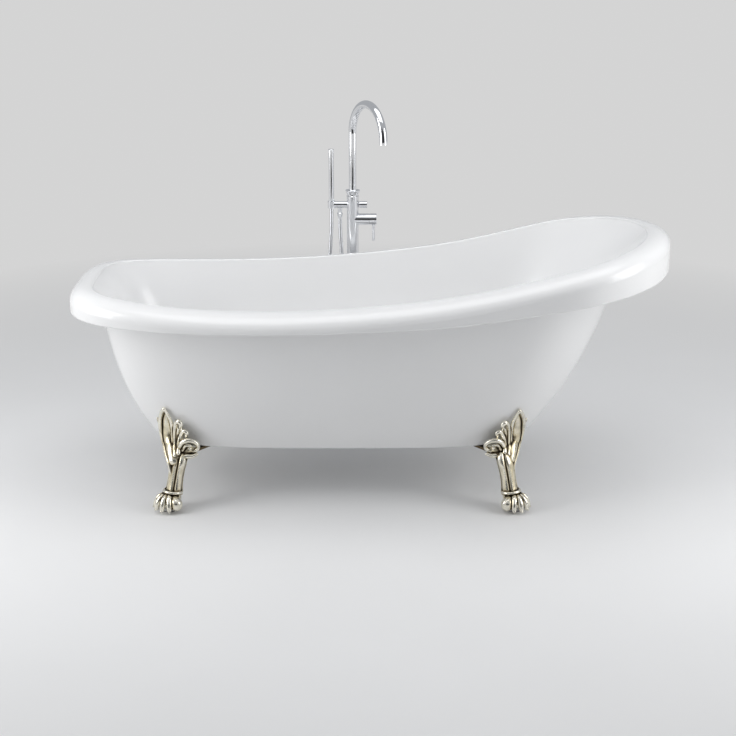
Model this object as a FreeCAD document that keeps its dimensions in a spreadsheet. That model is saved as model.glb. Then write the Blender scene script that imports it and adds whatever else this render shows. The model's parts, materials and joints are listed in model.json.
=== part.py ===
import FreeCAD, Part
import math
import os
import Sketcher
from FreeCAD import Vector, Placement, Rotation

# Freestanding slipper bath on four claw feet, with the floor-standing filler beside it.
# Millimetres. +Z is up, +X runs along the bath to its raised head end, and -Y is the front.
# The origin is on the floor under the middle of the whole set, without the free hose.

doc = FreeCAD.newDocument("clawfoot_bathtub")
sheet = doc.addObject("Spreadsheet::Sheet", "Sizes")

SIZES = [
    # bath: plan of the rim
    ("tub_length", 1700, "overall length over the rim"),
    ("tub_width", 750, "overall width over the rim"),
    ("widest_inset", 352, "where the rim is widest, in from the head end"),
    ("foot_squareness", 3.84, "superellipse power of the plan at the foot end"),
    ("head_squareness", 2, "superellipse power of the plan at the head end"),
    # bath: height of the rim's inner edge above the floor, from foot end to head end
    ("rim_height_foot", 624.5, "at the foot end"),
    ("rim_height_a", 600, "at 18 percent of the length"),
    ("rim_height_b", 597, "at 35 percent, the lowest part"),
    ("rim_height_c", 617, "at 53 percent"),
    ("rim_height_d", 653.5, "at 68 percent"),
    ("rim_height_e", 711, "at 82 percent"),
    ("rim_height_head", 770, "at the head end"),
    # bath: depth of the rolled band, from foot end to head end
    ("band_foot", 75.5, "at the foot end"),
    ("band_low", 51, "at the shallowest part"),
    ("band_mid", 70.5, "where the rim climbs"),
    ("band_head", 115, "at the head end"),
    ("roll_width", 61.5, "plan width of the roll, inner edge to outer face"),
    ("roll_drop", 43, "fall of the roll from inner edge to outer face"),
    ("edge_radius", 5, "rounding of the roll's inner edge"),
    ("lip_radius", 6, "rounding of the roll's lower edge"),
    ("lip_return", 20, "how far the lower edge turns in"),
    ("basin_wall", 6, "wall of the inner skin"),
    # bath: inside
    ("floor_foot_inset", 270, "inside floor, in from the rim at the foot end"),
    ("floor_head_inset", 450, "inside floor, in from the rim at the head end"),
    ("floor_side_inset", 195, "inside floor, in from the rim at the sides"),
    ("slope_foot", 0.8, "share of the inside wall that leans, foot end"),
    ("slope_side", 0.6, "the same, sides"),
    ("slope_head", 0.94, "the same, head end"),
    # bath: outer skin
    ("ground_clearance", 163, "underside of the outer skin above the floor"),
    ("shell_wall", 5, "wall of the outer skin"),
    ("hull_top_foot_inset", 84, "outer skin under the rim, in from the rim at the foot end"),
    ("hull_top_head_inset", 145, "the same, at the head end"),
    ("hull_top_side_inset", 50, "the same, at the sides"),
    ("hull_top_widest_inset", 420, "where the outer skin is widest, in from the head end"),
    ("hull_low_foot_inset", 222.5, "outer skin above its base rounding, in from the rim at the foot end"),
    ("hull_low_head_inset", 401, "the same, at the head end"),
    ("hull_low_side_inset", 160, "the same, at the sides"),
    ("hull_lean_foot", 0.479, "share of the hull's side that leans, foot end"),
    ("hull_lean_head", 0.642, "the same, head end"),
    ("base_round", 22, "rounding between the side and the underside"),
    # board between the skins
    ("board_thickness", 18, "reinforcing board"),
    ("board_margin", 9, "board edge inside the flat of the outer skin"),
    # feet
    ("paw_foot_inset", 280, "paw centre, in from the rim at the foot end"),
    ("paw_head_inset", 442, "paw centre, in from the rim at the head end"),
    ("paw_side_inset", 113, "paw centre, in from the rim at the sides"),
    ("foot_heading", 50, "degrees, direction of the toes from the X axis"),
    ("leaf_thickness", 15, "leaf of the foot, off the outer skin"),
    ("seat_gap", 0.6, "gap between the leaf and the outer skin"),
    ("sole_height", 6, "underside of the paw above the floor"),
    ("tongue_thickness", 8, "bolting tongue of the foot"),
    ("tongue_width", 46, "bolting tongue of the foot"),
    ("bolt_radius", 5, "M10 foot bolt"),
    ("bolt_hole_radius", 5.5, "clearance hole for the foot bolt"),
    ("bolt_near", 160, "first bolt inward of the paw centre"),
    ("bolt_pitch", 40, "distance between a foot's two bolts"),
    ("bolt_head_radius", 8.5, "bolt head"),
    ("bolt_head_height", 6.4, "bolt head"),
    ("washer_radius", 11, "bolt washer"),
    ("washer_thickness", 2, "bolt washer"),
    ("insert_radius", 7.5, "threaded insert in the board"),
    ("insert_length", 16, "threaded insert in the board"),
    ("stud_radius", 5, "levelling stud"),
    ("stud_clearance", 0.08, "levelling stud in the paw"),
    ("stud_length", 30, "levelling stud inside the paw"),
    ("glide_radius", 19, "levelling glide"),
    ("glide_rubber", 2, "rubber sole of the glide"),
    ("level_gap", 0.2, "gap over the glide at its upper stop"),
    # waste
    ("waste_inset", 450, "waste hole, in from the rim at the foot end"),
    ("waste_tail_radius", 23.9, "outside of the threaded tail"),
    ("waste_thread_radius", 23.2, "middle of the thread, where tail and backnut are screwed together"),
    ("waste_bore_radius", 20, "bore of the tail"),
    ("waste_hole_clearance", 1.1, "hole in the floor around the tail"),
    ("waste_flange_radius", 35, "flange of the waste"),
    ("waste_flange_thickness", 3, "flange of the waste"),
    ("waste_tail_end", 118, "lower end of the tail above the floor"),
    ("waste_seal", 2, "seal under the flange and under the floor"),
    ("backnut_radius", 33, "backnut"),
    ("backnut_height", 9, "backnut"),
    ("waste_room_radius", 46, "hole for the waste in the board and the outer skin"),
    ("plug_radius", 31, "push plug"),
    ("plug_height", 6, "push plug"),
    ("plug_gap", 0.6, "gap between the plug's seal and the flange"),
    ("plug_stem_radius", 4, "push plug's stem"),
    ("plug_stem_length", 34, "push plug's stem"),
    ("stem_clearance", 0.08, "plug stem in its guide"),
    # filler: stand
    ("tap_x", -55, "filler axis from mid length"),
    ("tap_gap", 75, "filler axis behind the rim"),
    ("plate_radius", 55, "floor plate"),
    ("plate_thickness", 8, "floor plate"),
    ("plate_bolt_circle", 84, "bolt circle of the floor plate"),
    ("plate_hole_radius", 3.5, "holes of the floor plate"),
    ("spigot_height", 40, "spigot of the floor plate inside the column"),
    ("spigot_bore_radius", 13, "bore of the spigot"),
    ("column_radius", 19, "column"),
    ("column_wall", 2, "column"),
    ("column_top", 748, "top of the column above the floor"),
    ("fit_gap", 0.1, "gap of fixed pieces inside the column"),
    ("inlet_radius", 4.75, "M10 x 1 inlet hole"),
    ("inlet_depth", 12, "M10 x 1 inlet hole"),
    ("inlet_spacing", 13, "distance between the inlets"),
    ("inlet_block_height", 20, "inlet block"),
    ("supply_radius", 4, "supply pipe"),
    ("supply_bore_radius", 3, "supply pipe"),
    # filler: valve group
    ("mixer_height", 686, "axis of the mixer above the floor"),
    ("mixer_radius", 18, "mixer body and cap"),
    ("mixer_body_end", 51, "end of the mixer body from the filler axis"),
    ("mixer_cap_gap", 1, "gap between body and cap"),
    ("mixer_cap_length", 23, "mixer cap"),
    ("cartridge_radius", 14, "ceramic cartridge"),
    ("spindle_radius", 4, "cartridge spindle"),
    ("spindle_clearance", 0.08, "spindle in the cap"),
    ("lever_x", 66, "lever pin from the filler axis"),
    ("lever_radius", 4.9, "lever pin"),
    ("lever_pivot_drop", 12, "lever pivot below the mixer axis"),
    ("lever_length", 57, "lever pin from its pivot to its tip"),
    ("lever_travel", 20, "degrees, lift of the lever"),
    ("lever_clearance", 0.3, "lever pin in its slot"),
    ("valve_block_top", 747, "top of the valve block above the floor"),
    ("valve_block_bottom", 664, "bottom of the valve block above the floor"),
    ("diverter_height", 733, "axis of diverter and handset arm above the floor"),
    ("arm_radius", 10.7, "handset arm and diverter knob"),
    ("knob_gap", 2, "gap between column and knob"),
    ("knob_end", 45, "end of the diverter knob from the filler axis"),
    ("knob_stem_radius", 5, "stem of the diverter knob"),
    ("knob_stem_length", 14, "stem inside the column's wall and block"),
    ("handset_offset", 67, "handset axis from the filler axis"),
    ("cradle_radius", 12.3, "cradle"),
    ("outlet_offset", 40.5, "hose outlet from the filler axis"),
    ("outlet_drop", 3, "hose outlet below the arm"),
    # filler: spout
    ("collar_radius", 23, "flared top of the collar"),
    ("collar_neck_radius", 19.6, "collar"),
    ("collar_height", 31, "collar"),
    ("spout_radius", 12.4, "spout tube"),
    ("spout_wall", 1.5, "spout tube"),
    ("spout_clearance", 0.08, "spout in its collar"),
    ("spout_spring", 958, "start of the bend above the floor"),
    ("spout_bend", 100, "radius of the bend"),
    ("spout_drop", 1, "straight end of the spout above the aerator"),
    ("spout_heading", -62, "degrees, direction of the spout from the X axis"),
    ("aerator_length", 6, "aerator"),
    # filler: handset and hose
    ("handset_radius", 9, "handset"),
    ("handset_length", 164, "handset above the cradle"),
    ("cone_clearance", 0.3, "hose cone in the cradle"),
    ("cone_length", 20, "hose cone in the cradle"),
    ("hose_radius", 6.3, "shower hose"),
    ("hose_bore_radius", 4, "shower hose"),
    ("nut_length", 26, "hose nut under the outlet"),
]

for row, (alias, value, note) in enumerate(SIZES, 1):
    sheet.set("A%d" % row, alias)
    sheet.set("B%d" % row, str(value))
    sheet.setAlias("B%d" % row, alias)
    sheet.set("C%d" % row, note)
doc.recompute()

NODES = []


def size(alias):
    return float(sheet.get(alias))


def register(obj, label):
    obj.Label = label
    NODES.append(obj)
    return obj


# ---------------------------------------------------------------- parametric helpers

def bind(obj, **expressions):
    for prop, expression in expressions.items():
        obj.setExpression(prop, expression)
    return obj


def move(obj, x="0", y="0", z="0", turn=None):
    if turn is not None:
        obj.Placement = Placement(Vector(0, 0, 0), turn)
    obj.setExpression("Placement.Base.x", x)
    obj.setExpression("Placement.Base.y", y)
    obj.setExpression("Placement.Base.z", z)
    return obj


def cylinder(name, radius, height, x="0", y="0", z="0", turn=None):
    obj = doc.addObject("Part::Cylinder", name)
    bind(obj, Radius=radius, Height=height)
    return move(obj, x, y, z, turn)


def box(name, length, width, height, x="0", y="0", z="0"):
    obj = doc.addObject("Part::Box", name)
    bind(obj, Length=length, Width=width, Height=height)
    return move(obj, x, y, z)


def cut(name, base, tool):
    obj = doc.addObject("Part::Cut", name)
    obj.Base = base
    obj.Tool = tool
    return obj


def fuse(name, pieces):
    obj = doc.addObject("Part::MultiFuse", name)
    obj.Shapes = pieces
    obj.Refine = True
    return obj


def solid(name, shape):
    obj = doc.addObject("Part::Feature", name)
    obj.Shape = shape
    return obj


def turned(name, profile, x="0", y="0", z="0", turn=None):
    """A body turned about its own Z axis from a closed outline of (radius, height) expressions."""
    body = doc.addObject("PartDesign::Body", name)
    sketch = body.newObject("Sketcher::SketchObject", name + "_outline")
    plane = [f for f in body.Origin.OriginFeatures if f.Role == "XZ_Plane"][0]
    sketch.AttachmentSupport = [(plane, "")]
    sketch.MapMode = "FlatFace"
    sheet_values = [(evaluate(r), evaluate(h)) for r, h in profile]
    count = len(profile)
    for i in range(count):
        start = Vector(sheet_values[i][0], sheet_values[i][1], 0)
        end = Vector(sheet_values[(i + 1) % count][0], sheet_values[(i + 1) % count][1], 0)
        sketch.addGeometry(Part.LineSegment(start, end), False)
    for i in range(count):
        sketch.addConstraint(Sketcher.Constraint("Coincident", i, 2, (i + 1) % count, 1))
    for i, (radius, height) in enumerate(profile):
        for kind, axis, text, number in (("DistanceX", -2, radius, sheet_values[i][0]),
                                         ("DistanceY", -1, height, sheet_values[i][1])):
            if text == "0":
                sketch.addConstraint(Sketcher.Constraint("PointOnObject", i, 1, axis))
            else:
                index = sketch.addConstraint(Sketcher.Constraint(kind, -1, 1, i, 1, number))
                sketch.setExpression("Constraints[%d]" % index, text)
    revolution = body.newObject("PartDesign::Revolution", name + "_turned")
    revolution.Profile = sketch
    revolution.ReferenceAxis = (sketch, ["V_Axis"])
    revolution.Angle = 360
    body.Tip = revolution
    return move(body, x, y, z, turn)


def evaluate(expression):
    """The present value of an expression over the sheet."""
    return float(FreeCAD.Units.Quantity(str(sheet.evalExpression(expression))).Value)


# ---------------------------------------------------------------- curves of the bath

RING_POINTS = 44
PLAN_STEPS = 600


def natural_spline(stations, values):
    """The natural cubic through the values, as a function of the station."""
    last = len(stations) - 1
    gap = [stations[i + 1] - stations[i] for i in range(last)]
    rise = [(values[i + 1] - values[i]) / gap[i] for i in range(last)]
    diagonal = [1.0] + [2 * (gap[i - 1] + gap[i]) for i in range(1, last)] + [1.0]
    bend = [0.0] + [6 * (rise[i] - rise[i - 1]) for i in range(1, last)] + [0.0]
    for i in range(2, last):
        share = gap[i - 1] / diagonal[i - 1]
        diagonal[i] -= share * gap[i - 1]
        bend[i] -= share * bend[i - 1]
    for i in range(last - 1, 0, -1):
        bend[i] = (bend[i] - gap[i] * bend[i + 1]) / diagonal[i]

    def at(station):
        i = max(k for k in range(last) if k == 0 or station >= stations[k])
        t = station - stations[i]
        slope = rise[i] - gap[i] * (2 * bend[i] + bend[i + 1]) / 6
        return values[i] + slope * t + bend[i] * t ** 2 / 2 + (bend[i + 1] - bend[i]) * t ** 3 / (6 * gap[i])

    return at


HALF_LENGTH = size("tub_length") / 2
HALF_WIDTH = size("tub_width") / 2
TAP_REACH = HALF_WIDTH + size("tap_gap")
# The bath is made round its own centre line, and its pieces are then moved to this place across the set.
TUB_Y = (HALF_WIDTH - TAP_REACH - size("plate_radius")) / 2
WIDEST_X = HALF_LENGTH - size("widest_inset")
FLOOR_FOOT_X = -HALF_LENGTH + size("floor_foot_inset")
FLOOR_HEAD_X = HALF_LENGTH - size("floor_head_inset")
WASTE_X = -HALF_LENGTH + size("waste_inset")
RIM_STATIONS = [HALF_LENGTH * share for share in (-1, -0.647, -0.294, 0.059, 0.353, 0.647, 1)]
RIM_HEIGHTS = [size("rim_height_" + end) for end in ("foot", "a", "b", "c", "d", "e", "head")]
BAND_STATIONS = [HALF_LENGTH * share for share in (-1, -0.353, 0.294, 1)]
BAND_DEPTHS = [size("band_" + place) for place in ("foot", "low", "mid", "head")]
rim_height = natural_spline(RIM_STATIONS, RIM_HEIGHTS)
band_depth = natural_spline(BAND_STATIONS, BAND_DEPTHS)


def superellipse(foot_x, head_x, wide_x, half_width, foot_power, head_power):
    """Evenly spaced points round a plan, from the head end over +Y, each with its outward normal."""
    half = []
    for step in range(PLAN_STEPS + 1):
        angle = math.pi * step / PLAN_STEPS
        cosine, sine = math.cos(angle), math.sin(angle)
        power = head_power if cosine >= 0 else foot_power
        reach = head_x - wide_x if cosine >= 0 else wide_x - foot_x
        x = wide_x + reach * math.copysign(abs(cosine) ** (2 / power), cosine)
        y = half_width * abs(sine) ** (2 / power)
        half.append((x, y))
    length = [0.0]
    for (x0, y0), (x1, y1) in zip(half, half[1:]):
        length.append(length[-1] + math.hypot(x1 - x0, y1 - y0))
    points = []
    step = 0
    for number in range(RING_POINTS // 2 + 1):
        target = length[-1] * number / (RING_POINTS // 2)
        while step < PLAN_STEPS - 1 and length[step + 1] < target:
            step += 1
        share = (target - length[step]) / (length[step + 1] - length[step])
        x = half[step][0] + share * (half[step + 1][0] - half[step][0])
        y = half[step][1] + share * (half[step + 1][1] - half[step][1])
        points.append((x, y))
    points[0] = (head_x, 0.0)
    points[-1] = (foot_x, 0.0)
    ring = []
    for x, y in points:
        power = head_power if x >= wide_x else foot_power
        reach = head_x - wide_x if x >= wide_x else wide_x - foot_x
        along = math.copysign((abs(x - wide_x) / reach) ** (power - 1) / reach, x - wide_x)
        across = (abs(y) / half_width) ** (power - 1) / half_width
        norm = math.hypot(along, across)
        ring.append((x, y, along / norm, across / norm))
    return ring + [(x, -y, nx, -ny) for x, y, nx, ny in reversed(ring[1:-1])]


def offset(ring, distance):
    """The ring moved outward along its normals."""
    return [(x + nx * distance, y + ny * distance, nx, ny) for x, y, nx, ny in ring]


RIM_PLAN = superellipse(-HALF_LENGTH, HALF_LENGTH, WIDEST_X, HALF_WIDTH,
                        size("foot_squareness"), size("head_squareness"))
FLOOR_POWER = 3.2
HULL_POWER = 3.6
HULL_TOP_HEAD_POWER = 2.1


def rim_ring(inset, rise, on_band=False):
    """A ring that follows the rim: inset from its outer face, and above its edge or its lower edge."""
    ring = []
    for x, y, nx, ny in offset(RIM_PLAN, -inset):
        base = rim_height(x) - (band_depth(x) if on_band else 0)
        ring.append(Vector(x, y, base + rise))
    return ring


def level_ring(ring, height):
    return [Vector(x, y, height) for x, y, nx, ny in ring]


def ring_wire(points):
    curve = Part.BSplineCurve()
    steps = [i / RING_POINTS for i in range(RING_POINTS + 1)]
    curve.interpolate(Points=points, PeriodicFlag=True, Parameters=steps)
    return Part.Wire(curve.toShape())


def skin(rings, smooth):
    return Part.makeLoft([ring_wire(ring) for ring in rings], False, not smooth).Faces


def closed_solid(faces):
    group = Part.Compound(faces)
    group.sewShape()
    body = Part.Solid(group.Shells[0])
    if body.Volume < 0:
        body.reverse()
    return body


def fractions(count):
    """Shares from 0 to 1 that draw together towards 1, where a wall rounds into its floor."""
    return [math.sin(math.pi / 2 * i / count) for i in range(count + 1)]


# ---------------------------------------------------------------- inner skin

SHELL_FLOOR = size("ground_clearance") + size("shell_wall")
BOARD_TOP = SHELL_FLOOR + size("board_thickness")
BASIN_FLOOR = BOARD_TOP + size("basin_wall")
TOP_LEAN = 1.7


def basin_wall_ring(share, depth):
    """A ring of the inside wall, from the rim (0) to the floor (1), on a skin this deep in the wall."""
    edge = size("edge_radius")
    start = rim_ring(size("roll_width") + edge - depth, -edge - 1.4 * depth)
    floor_mid = (FLOOR_HEAD_X + FLOOR_FOOT_X) / 2
    floor_half = HALF_WIDTH - size("floor_side_inset")
    grown = 0.7 * depth
    floor = superellipse(FLOOR_FOOT_X - grown, FLOOR_HEAD_X + grown, floor_mid,
                         floor_half + grown, FLOOR_POWER, FLOOR_POWER)
    even = (size("slope_head") + size("slope_foot")) / 2 - size("slope_side")
    tilt = (size("slope_head") - size("slope_foot")) / 2
    ring = []
    for top, (x, y, nx, ny) in zip(start, floor):
        ahead = top.x - WIDEST_X
        end = max(-1.0, min(1.0, ahead / (HALF_LENGTH - math.copysign(WIDEST_X, ahead))))
        lean = size("slope_side") + tilt * end + even * end ** 2
        inward = lean * share * (TOP_LEAN - (TOP_LEAN - 1) * share)
        inward += (1 - lean) * (1 - math.sqrt(max(0.0, 1 - share ** 3)))
        height = top.z + (BASIN_FLOOR - depth - top.z) * share
        ring.append(Vector(top.x + (x - top.x) * inward, top.y + (y - top.y) * inward, height))
    return ring


def roll_ring(degrees, depth):
    """A ring of the roll, from its inner edge (0) to its outer face (90)."""
    sine, cosine = math.sin(math.radians(degrees)), math.cos(math.radians(degrees))
    inset = size("roll_width") * (1 - sine) + depth * sine
    return rim_ring(inset, -size("roll_drop") * (1 - cosine) - depth * cosine)


def edge_ring(degrees):
    sine, cosine = math.sin(math.radians(degrees)), math.cos(math.radians(degrees))
    return rim_ring(size("roll_width") + size("edge_radius") * sine, -size("edge_radius") * (1 - cosine))


def lip_ring(degrees):
    sine, cosine = math.sin(math.radians(degrees)), math.cos(math.radians(degrees))
    return rim_ring(size("lip_radius") * (1 - cosine), size("lip_radius") * (1 - sine), True)


def tub_basin():
    wall = size("basin_wall")
    inner = [basin_wall_ring(share, 0) for share in reversed(fractions(8))]
    outer = [basin_wall_ring(share, wall) for share in fractions(8)]
    roll = [roll_ring(degrees, 0) for degrees in range(0, 91, 15)]
    lip = [lip_ring(degrees) for degrees in (0, 30, 60, 90)]
    lip.append(rim_ring(size("lip_return"), 0, True))
    lip.append(rim_ring(size("lip_return"), wall, True))
    lip.append(rim_ring(wall + size("lip_radius") / 2, wall, True))
    lip.append(rim_ring(wall, wall + size("lip_radius") / 2, True))
    under = [roll_ring(degrees, wall) for degrees in (90, 75, 60, 45, 30, 15)]
    faces = skin(inner, True)
    faces += skin([edge_ring(degrees) for degrees in (90, 60, 30, 0)], False)
    faces += skin(roll, True)
    faces += skin([roll[-1]] + lip + [under[0]], False)
    faces += skin(under, True)
    faces += skin([under[-1], outer[0]], False)
    faces += skin(outer, True)
    faces.append(Part.Face(ring_wire(inner[0])))
    faces.append(Part.Face(ring_wire(outer[-1])))
    basin = closed_solid(faces)
    hole_radius = size("waste_tail_radius") + size("waste_hole_clearance")
    hole = Part.makeCylinder(hole_radius, 4 * wall, Vector(WASTE_X, 0, BASIN_FLOOR - 2 * wall))
    return basin.cut(hole)


def bath_node(name, shape):
    """Registers a piece of the bath, moved from its own centre line to its place."""
    shape.translate(Vector(0, TUB_Y, 0))
    register(solid(name, shape), name)


bath_node("tub_basin", tub_basin())


# ---------------------------------------------------------------- outer skin

HULL_LOW_FOOT_X = -HALF_LENGTH + size("hull_low_foot_inset")
HULL_LOW_HEAD_X = HALF_LENGTH - size("hull_low_head_inset")
HULL_TOP = superellipse(-HALF_LENGTH + size("hull_top_foot_inset"), HALF_LENGTH - size("hull_top_head_inset"),
                        HALF_LENGTH - size("hull_top_widest_inset"), HALF_WIDTH - size("hull_top_side_inset"),
                        HULL_POWER, HULL_TOP_HEAD_POWER)
HULL_LOW = superellipse(HULL_LOW_FOOT_X, HULL_LOW_HEAD_X, (HULL_LOW_HEAD_X + HULL_LOW_FOOT_X) / 2,
                        HALF_WIDTH - size("hull_low_side_inset"), HULL_POWER, HULL_POWER)
ROUND_START = 40
ROUND_ANGLES = (40, 55, 70, 90)
HULL_LOW_Z = size("ground_clearance") + size("base_round") * (1 - math.sin(math.radians(ROUND_START)))
FLANGE_RISE = 0.5
LIP_GAP = 0.3


def hull_point(number, share, grown):
    """A point of the hull's side, from under the rim (0) to the base rounding (1)."""
    top = offset(HULL_TOP, grown)[number]
    low = offset(HULL_LOW, grown)[number]
    end = math.cos(2 * math.pi * number / RING_POINTS)
    lean = (size("hull_lean_foot") + size("hull_lean_head")) / 2
    lean += (size("hull_lean_head") - size("hull_lean_foot")) / 2 * end
    inward = lean * share + (1 - lean) * share ** 3
    top_z = rim_height(top[0]) - band_depth(top[0]) + FLANGE_RISE
    x = top[0] + (low[0] - top[0]) * inward
    y = top[1] + (low[1] - top[1]) * inward
    return Vector(x, y, top_z + (HULL_LOW_Z - top_z) * share)


def hull_ring(share, grown):
    return [hull_point(number, share, grown) for number in range(RING_POINTS)]


def hull_level(height, grown):
    """The hull's plan at one height above its base rounding."""
    ring = []
    for number in range(RING_POINTS):
        top_z = hull_point(number, 0, grown).z
        share = (top_z - height) / (top_z - HULL_LOW_Z)
        ring.append(hull_point(number, share, grown))
    return ring


def round_ring(degrees, grown):
    """A ring of the rounding between the hull's side and its underside."""
    start = math.radians(ROUND_START)
    turn = math.radians(degrees)
    inset = size("base_round") * (math.cos(start) - math.cos(turn))
    drop = size("base_round") * (math.sin(turn) - math.sin(start))
    return level_ring(offset(HULL_LOW, grown - inset), HULL_LOW_Z - drop - min(grown, 0))


def foot_positions():
    for side_y, place in ((-1, "front"), (1, "back")):
        for side_x, end in ((-1, "left"), (1, "right")):
            x = side_x * (HALF_LENGTH - size("paw_" + ("foot" if side_x < 0 else "head") + "_inset"))
            y = side_y * (HALF_WIDTH - size("paw_side_inset"))
            yield place + "_" + end, side_x, side_y, x, y


def heading(side_x, side_y):
    angle = math.radians(size("foot_heading"))
    return Vector(side_x * math.cos(angle), side_y * math.sin(angle), 0)


def bolt_places():
    """Centre lines of the foot bolts, at floor level."""
    places = []
    for name, side_x, side_y, x, y in foot_positions():
        for step in range(2):
            inward = size("bolt_near") + step * size("bolt_pitch")
            places.append(Vector(x, y, 0) - heading(side_x, side_y) * inward)
    return places


def at_bolts(radius, low, high):
    return [Part.makeCylinder(radius, high - low, place + Vector(0, 0, low)) for place in bolt_places()]


def outer_shell():
    wall = size("shell_wall")
    shares = (0, 0.15, 0.3, 0.45, 0.6, 0.75, 0.9, 1)
    outer = [hull_ring(share, 0) for share in shares]
    inner = [hull_ring(share, -wall) for share in shares]
    inner[0] = [Vector(point.x, point.y, point.z + wall) for point in inner[0]]
    base_out = [outer[-1]] + [round_ring(degrees, 0) for degrees in ROUND_ANGLES[1:]]
    base_in = [inner[-1]] + [round_ring(degrees, -wall) for degrees in ROUND_ANGLES[1:]]
    flange_edge = size("lip_return") + LIP_GAP
    flange = [outer[0], rim_ring(flange_edge, FLANGE_RISE, True),
              rim_ring(flange_edge, FLANGE_RISE + wall, True), inner[0]]
    faces = skin(outer, True) + skin(inner, True)
    faces += skin(base_out, False) + skin(base_in, False) + skin(flange, False)
    faces.append(Part.Face(ring_wire(base_out[-1])))
    faces.append(Part.Face(ring_wire(base_in[-1])))
    shell = closed_solid(faces)
    below = size("ground_clearance") - wall
    above = SHELL_FLOOR + wall
    tools = at_bolts(size("bolt_hole_radius"), below, above)
    tools.append(Part.makeCylinder(size("waste_room_radius"), above - below, Vector(WASTE_X, 0, below)))
    return shell.cut(Part.makeCompound(tools))


bath_node("outer_shell", outer_shell())


# ---------------------------------------------------------------- board and foot fasteners

def base_board():
    """The board that lies on the flat of the outer skin, under the inside floor."""
    flat = size("base_round") * math.cos(math.radians(ROUND_START)) + size("shell_wall") + size("board_margin")
    outline = level_ring(offset(HULL_LOW, -flat), SHELL_FLOOR)
    board = Part.Face(ring_wire(outline)).extrude(Vector(0, 0, size("board_thickness")))
    tools = at_bolts(size("insert_radius"), SHELL_FLOOR - 1, SHELL_FLOOR + size("insert_length"))
    tools.append(Part.makeCylinder(size("waste_room_radius"), 3 * size("board_thickness"),
                                   Vector(WASTE_X, 0, SHELL_FLOOR - size("board_thickness"))))
    return board.cut(Part.makeCompound(tools))


def board_inserts():
    top = SHELL_FLOOR + size("insert_length")
    sleeves = at_bolts(size("insert_radius"), SHELL_FLOOR, top)
    bores = at_bolts(size("bolt_radius"), SHELL_FLOOR - 1, top + 1)
    return Part.makeCompound([sleeve.cut(bore) for sleeve, bore in zip(sleeves, bores)])


TONGUE_BOTTOM = size("ground_clearance") - size("tongue_thickness")
WASHER_BOTTOM = TONGUE_BOTTOM - size("washer_thickness")
HEAD_BOTTOM = WASHER_BOTTOM - size("bolt_head_height")


def foot_bolts():
    bolts = []
    for place in bolt_places():
        corners = [place + Vector(size("bolt_head_radius") * math.cos(math.radians(60 * i)),
                                  size("bolt_head_radius") * math.sin(math.radians(60 * i)), HEAD_BOTTOM)
                   for i in range(7)]
        head = Part.Face(Part.makePolygon(corners)).extrude(Vector(0, 0, size("bolt_head_height")))
        shank_length = SHELL_FLOOR + size("insert_length") - WASHER_BOTTOM
        shank = Part.makeCylinder(size("bolt_radius"), shank_length, place + Vector(0, 0, WASHER_BOTTOM))
        bolts.append(head.fuse(shank))
    return Part.makeCompound(bolts)


def foot_washers():
    rings = at_bolts(size("washer_radius"), WASHER_BOTTOM, TONGUE_BOTTOM)
    bores = at_bolts(size("bolt_hole_radius"), WASHER_BOTTOM - 1, TONGUE_BOTTOM + 1)
    return Part.makeCompound([ring.cut(bore) for ring, bore in zip(rings, bores)])


bath_node("base_board", base_board())
bath_node("board_inserts", board_inserts())
bath_node("foot_bolts", foot_bolts())
bath_node("foot_washers", foot_washers())


# ---------------------------------------------------------------- claw feet

CLEARANCE = size("ground_clearance")
LEAF_LEVELS = [CLEARANCE * share for share in (2.2, 1.84, 1.53, 1.26)] + [HULL_LOW_Z]
# The leaf seen from the front: outward of the paw's centre, and its height as a share of the clearance.
LEAF_OUTLINE = [(12, 1.78), (24, 1.68), (33, 1.47), (25, 1.3), (14, 1.14), (0, 0.93), (-57, 0.86),
                (-80, 0.91), (-83, 1.055), (-67, 1.13), (-50, 1.2), (-35, 1.34), (-26, 1.485), (-10, 1.55), (1, 1.705)]


def hull_block(grown):
    """The outside of the lower hull as a solid, grown outward."""
    levels = [hull_level(height, grown) for height in LEAF_LEVELS]
    base = [levels[-1]] + [round_ring(degrees, grown) for degrees in ROUND_ANGLES[1:]]
    faces = skin(levels, True) + skin(base, False)
    return closed_solid(faces + [Part.Face(ring_wire(levels[0])), Part.Face(ring_wire(base[-1]))])


def local_ellipse(centre, along, across, half_along, half_across):
    """A level ellipse with its long half on one side of a foot."""
    curve = Part.Ellipse(Vector(0, 0, 0), max(half_along, half_across), min(half_along, half_across))
    turn = math.degrees(math.atan2(along.y, along.x))
    if half_across > half_along:
        turn += 90
    wire = Part.Wire(curve.toShape())
    wire.Placement = Placement(centre, Rotation(Vector(0, 0, 1), turn))
    return wire


# Shank of the leg, up into the root of the leaf: outward of the paw's centre, height as a share of the
# clearance, half depth and half width.
SHANK = [(-2, 0.307, 30, 30), (-8, 0.479, 25, 27), (-19, 0.675, 24, 26), (-34, 0.871, 26, 30),
         (-46, 1.055, 28, 36), (-50, 1.227, 27, 32), (-45, 1.387, 20, 24), (-36, 1.521, 11, 14)]
# Toes: sideways from the foot's middle, and how far they reach.
TOES = [(-31, 26), (-11, 36), (11, 36), (31, 26)]
TOE_RADIUS = 11
TOE_TIP_HEIGHT = 17
TOE_TIP_SPREAD = 1.1
KNUCKLE_HEIGHT = 36
KNUCKLE_SHARE = 0.45
# Claws: radius at the root and at the tip, length, start past the toe's tip, and slant outward.
CLAW_ROOT = 5
CLAW_TIP = 1.5
CLAW_LENGTH = 14
CLAW_START = 8
CLAW_SLANT = 0.6
# Heel and instep, as balls: outward of the paw's centre, height and radius.
HEEL = (-6, 34, 33)
INSTEP = (8, 44, 24)
# Radius round the paw's centre that holds the whole paw.
PAW_ROOM = 120
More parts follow.
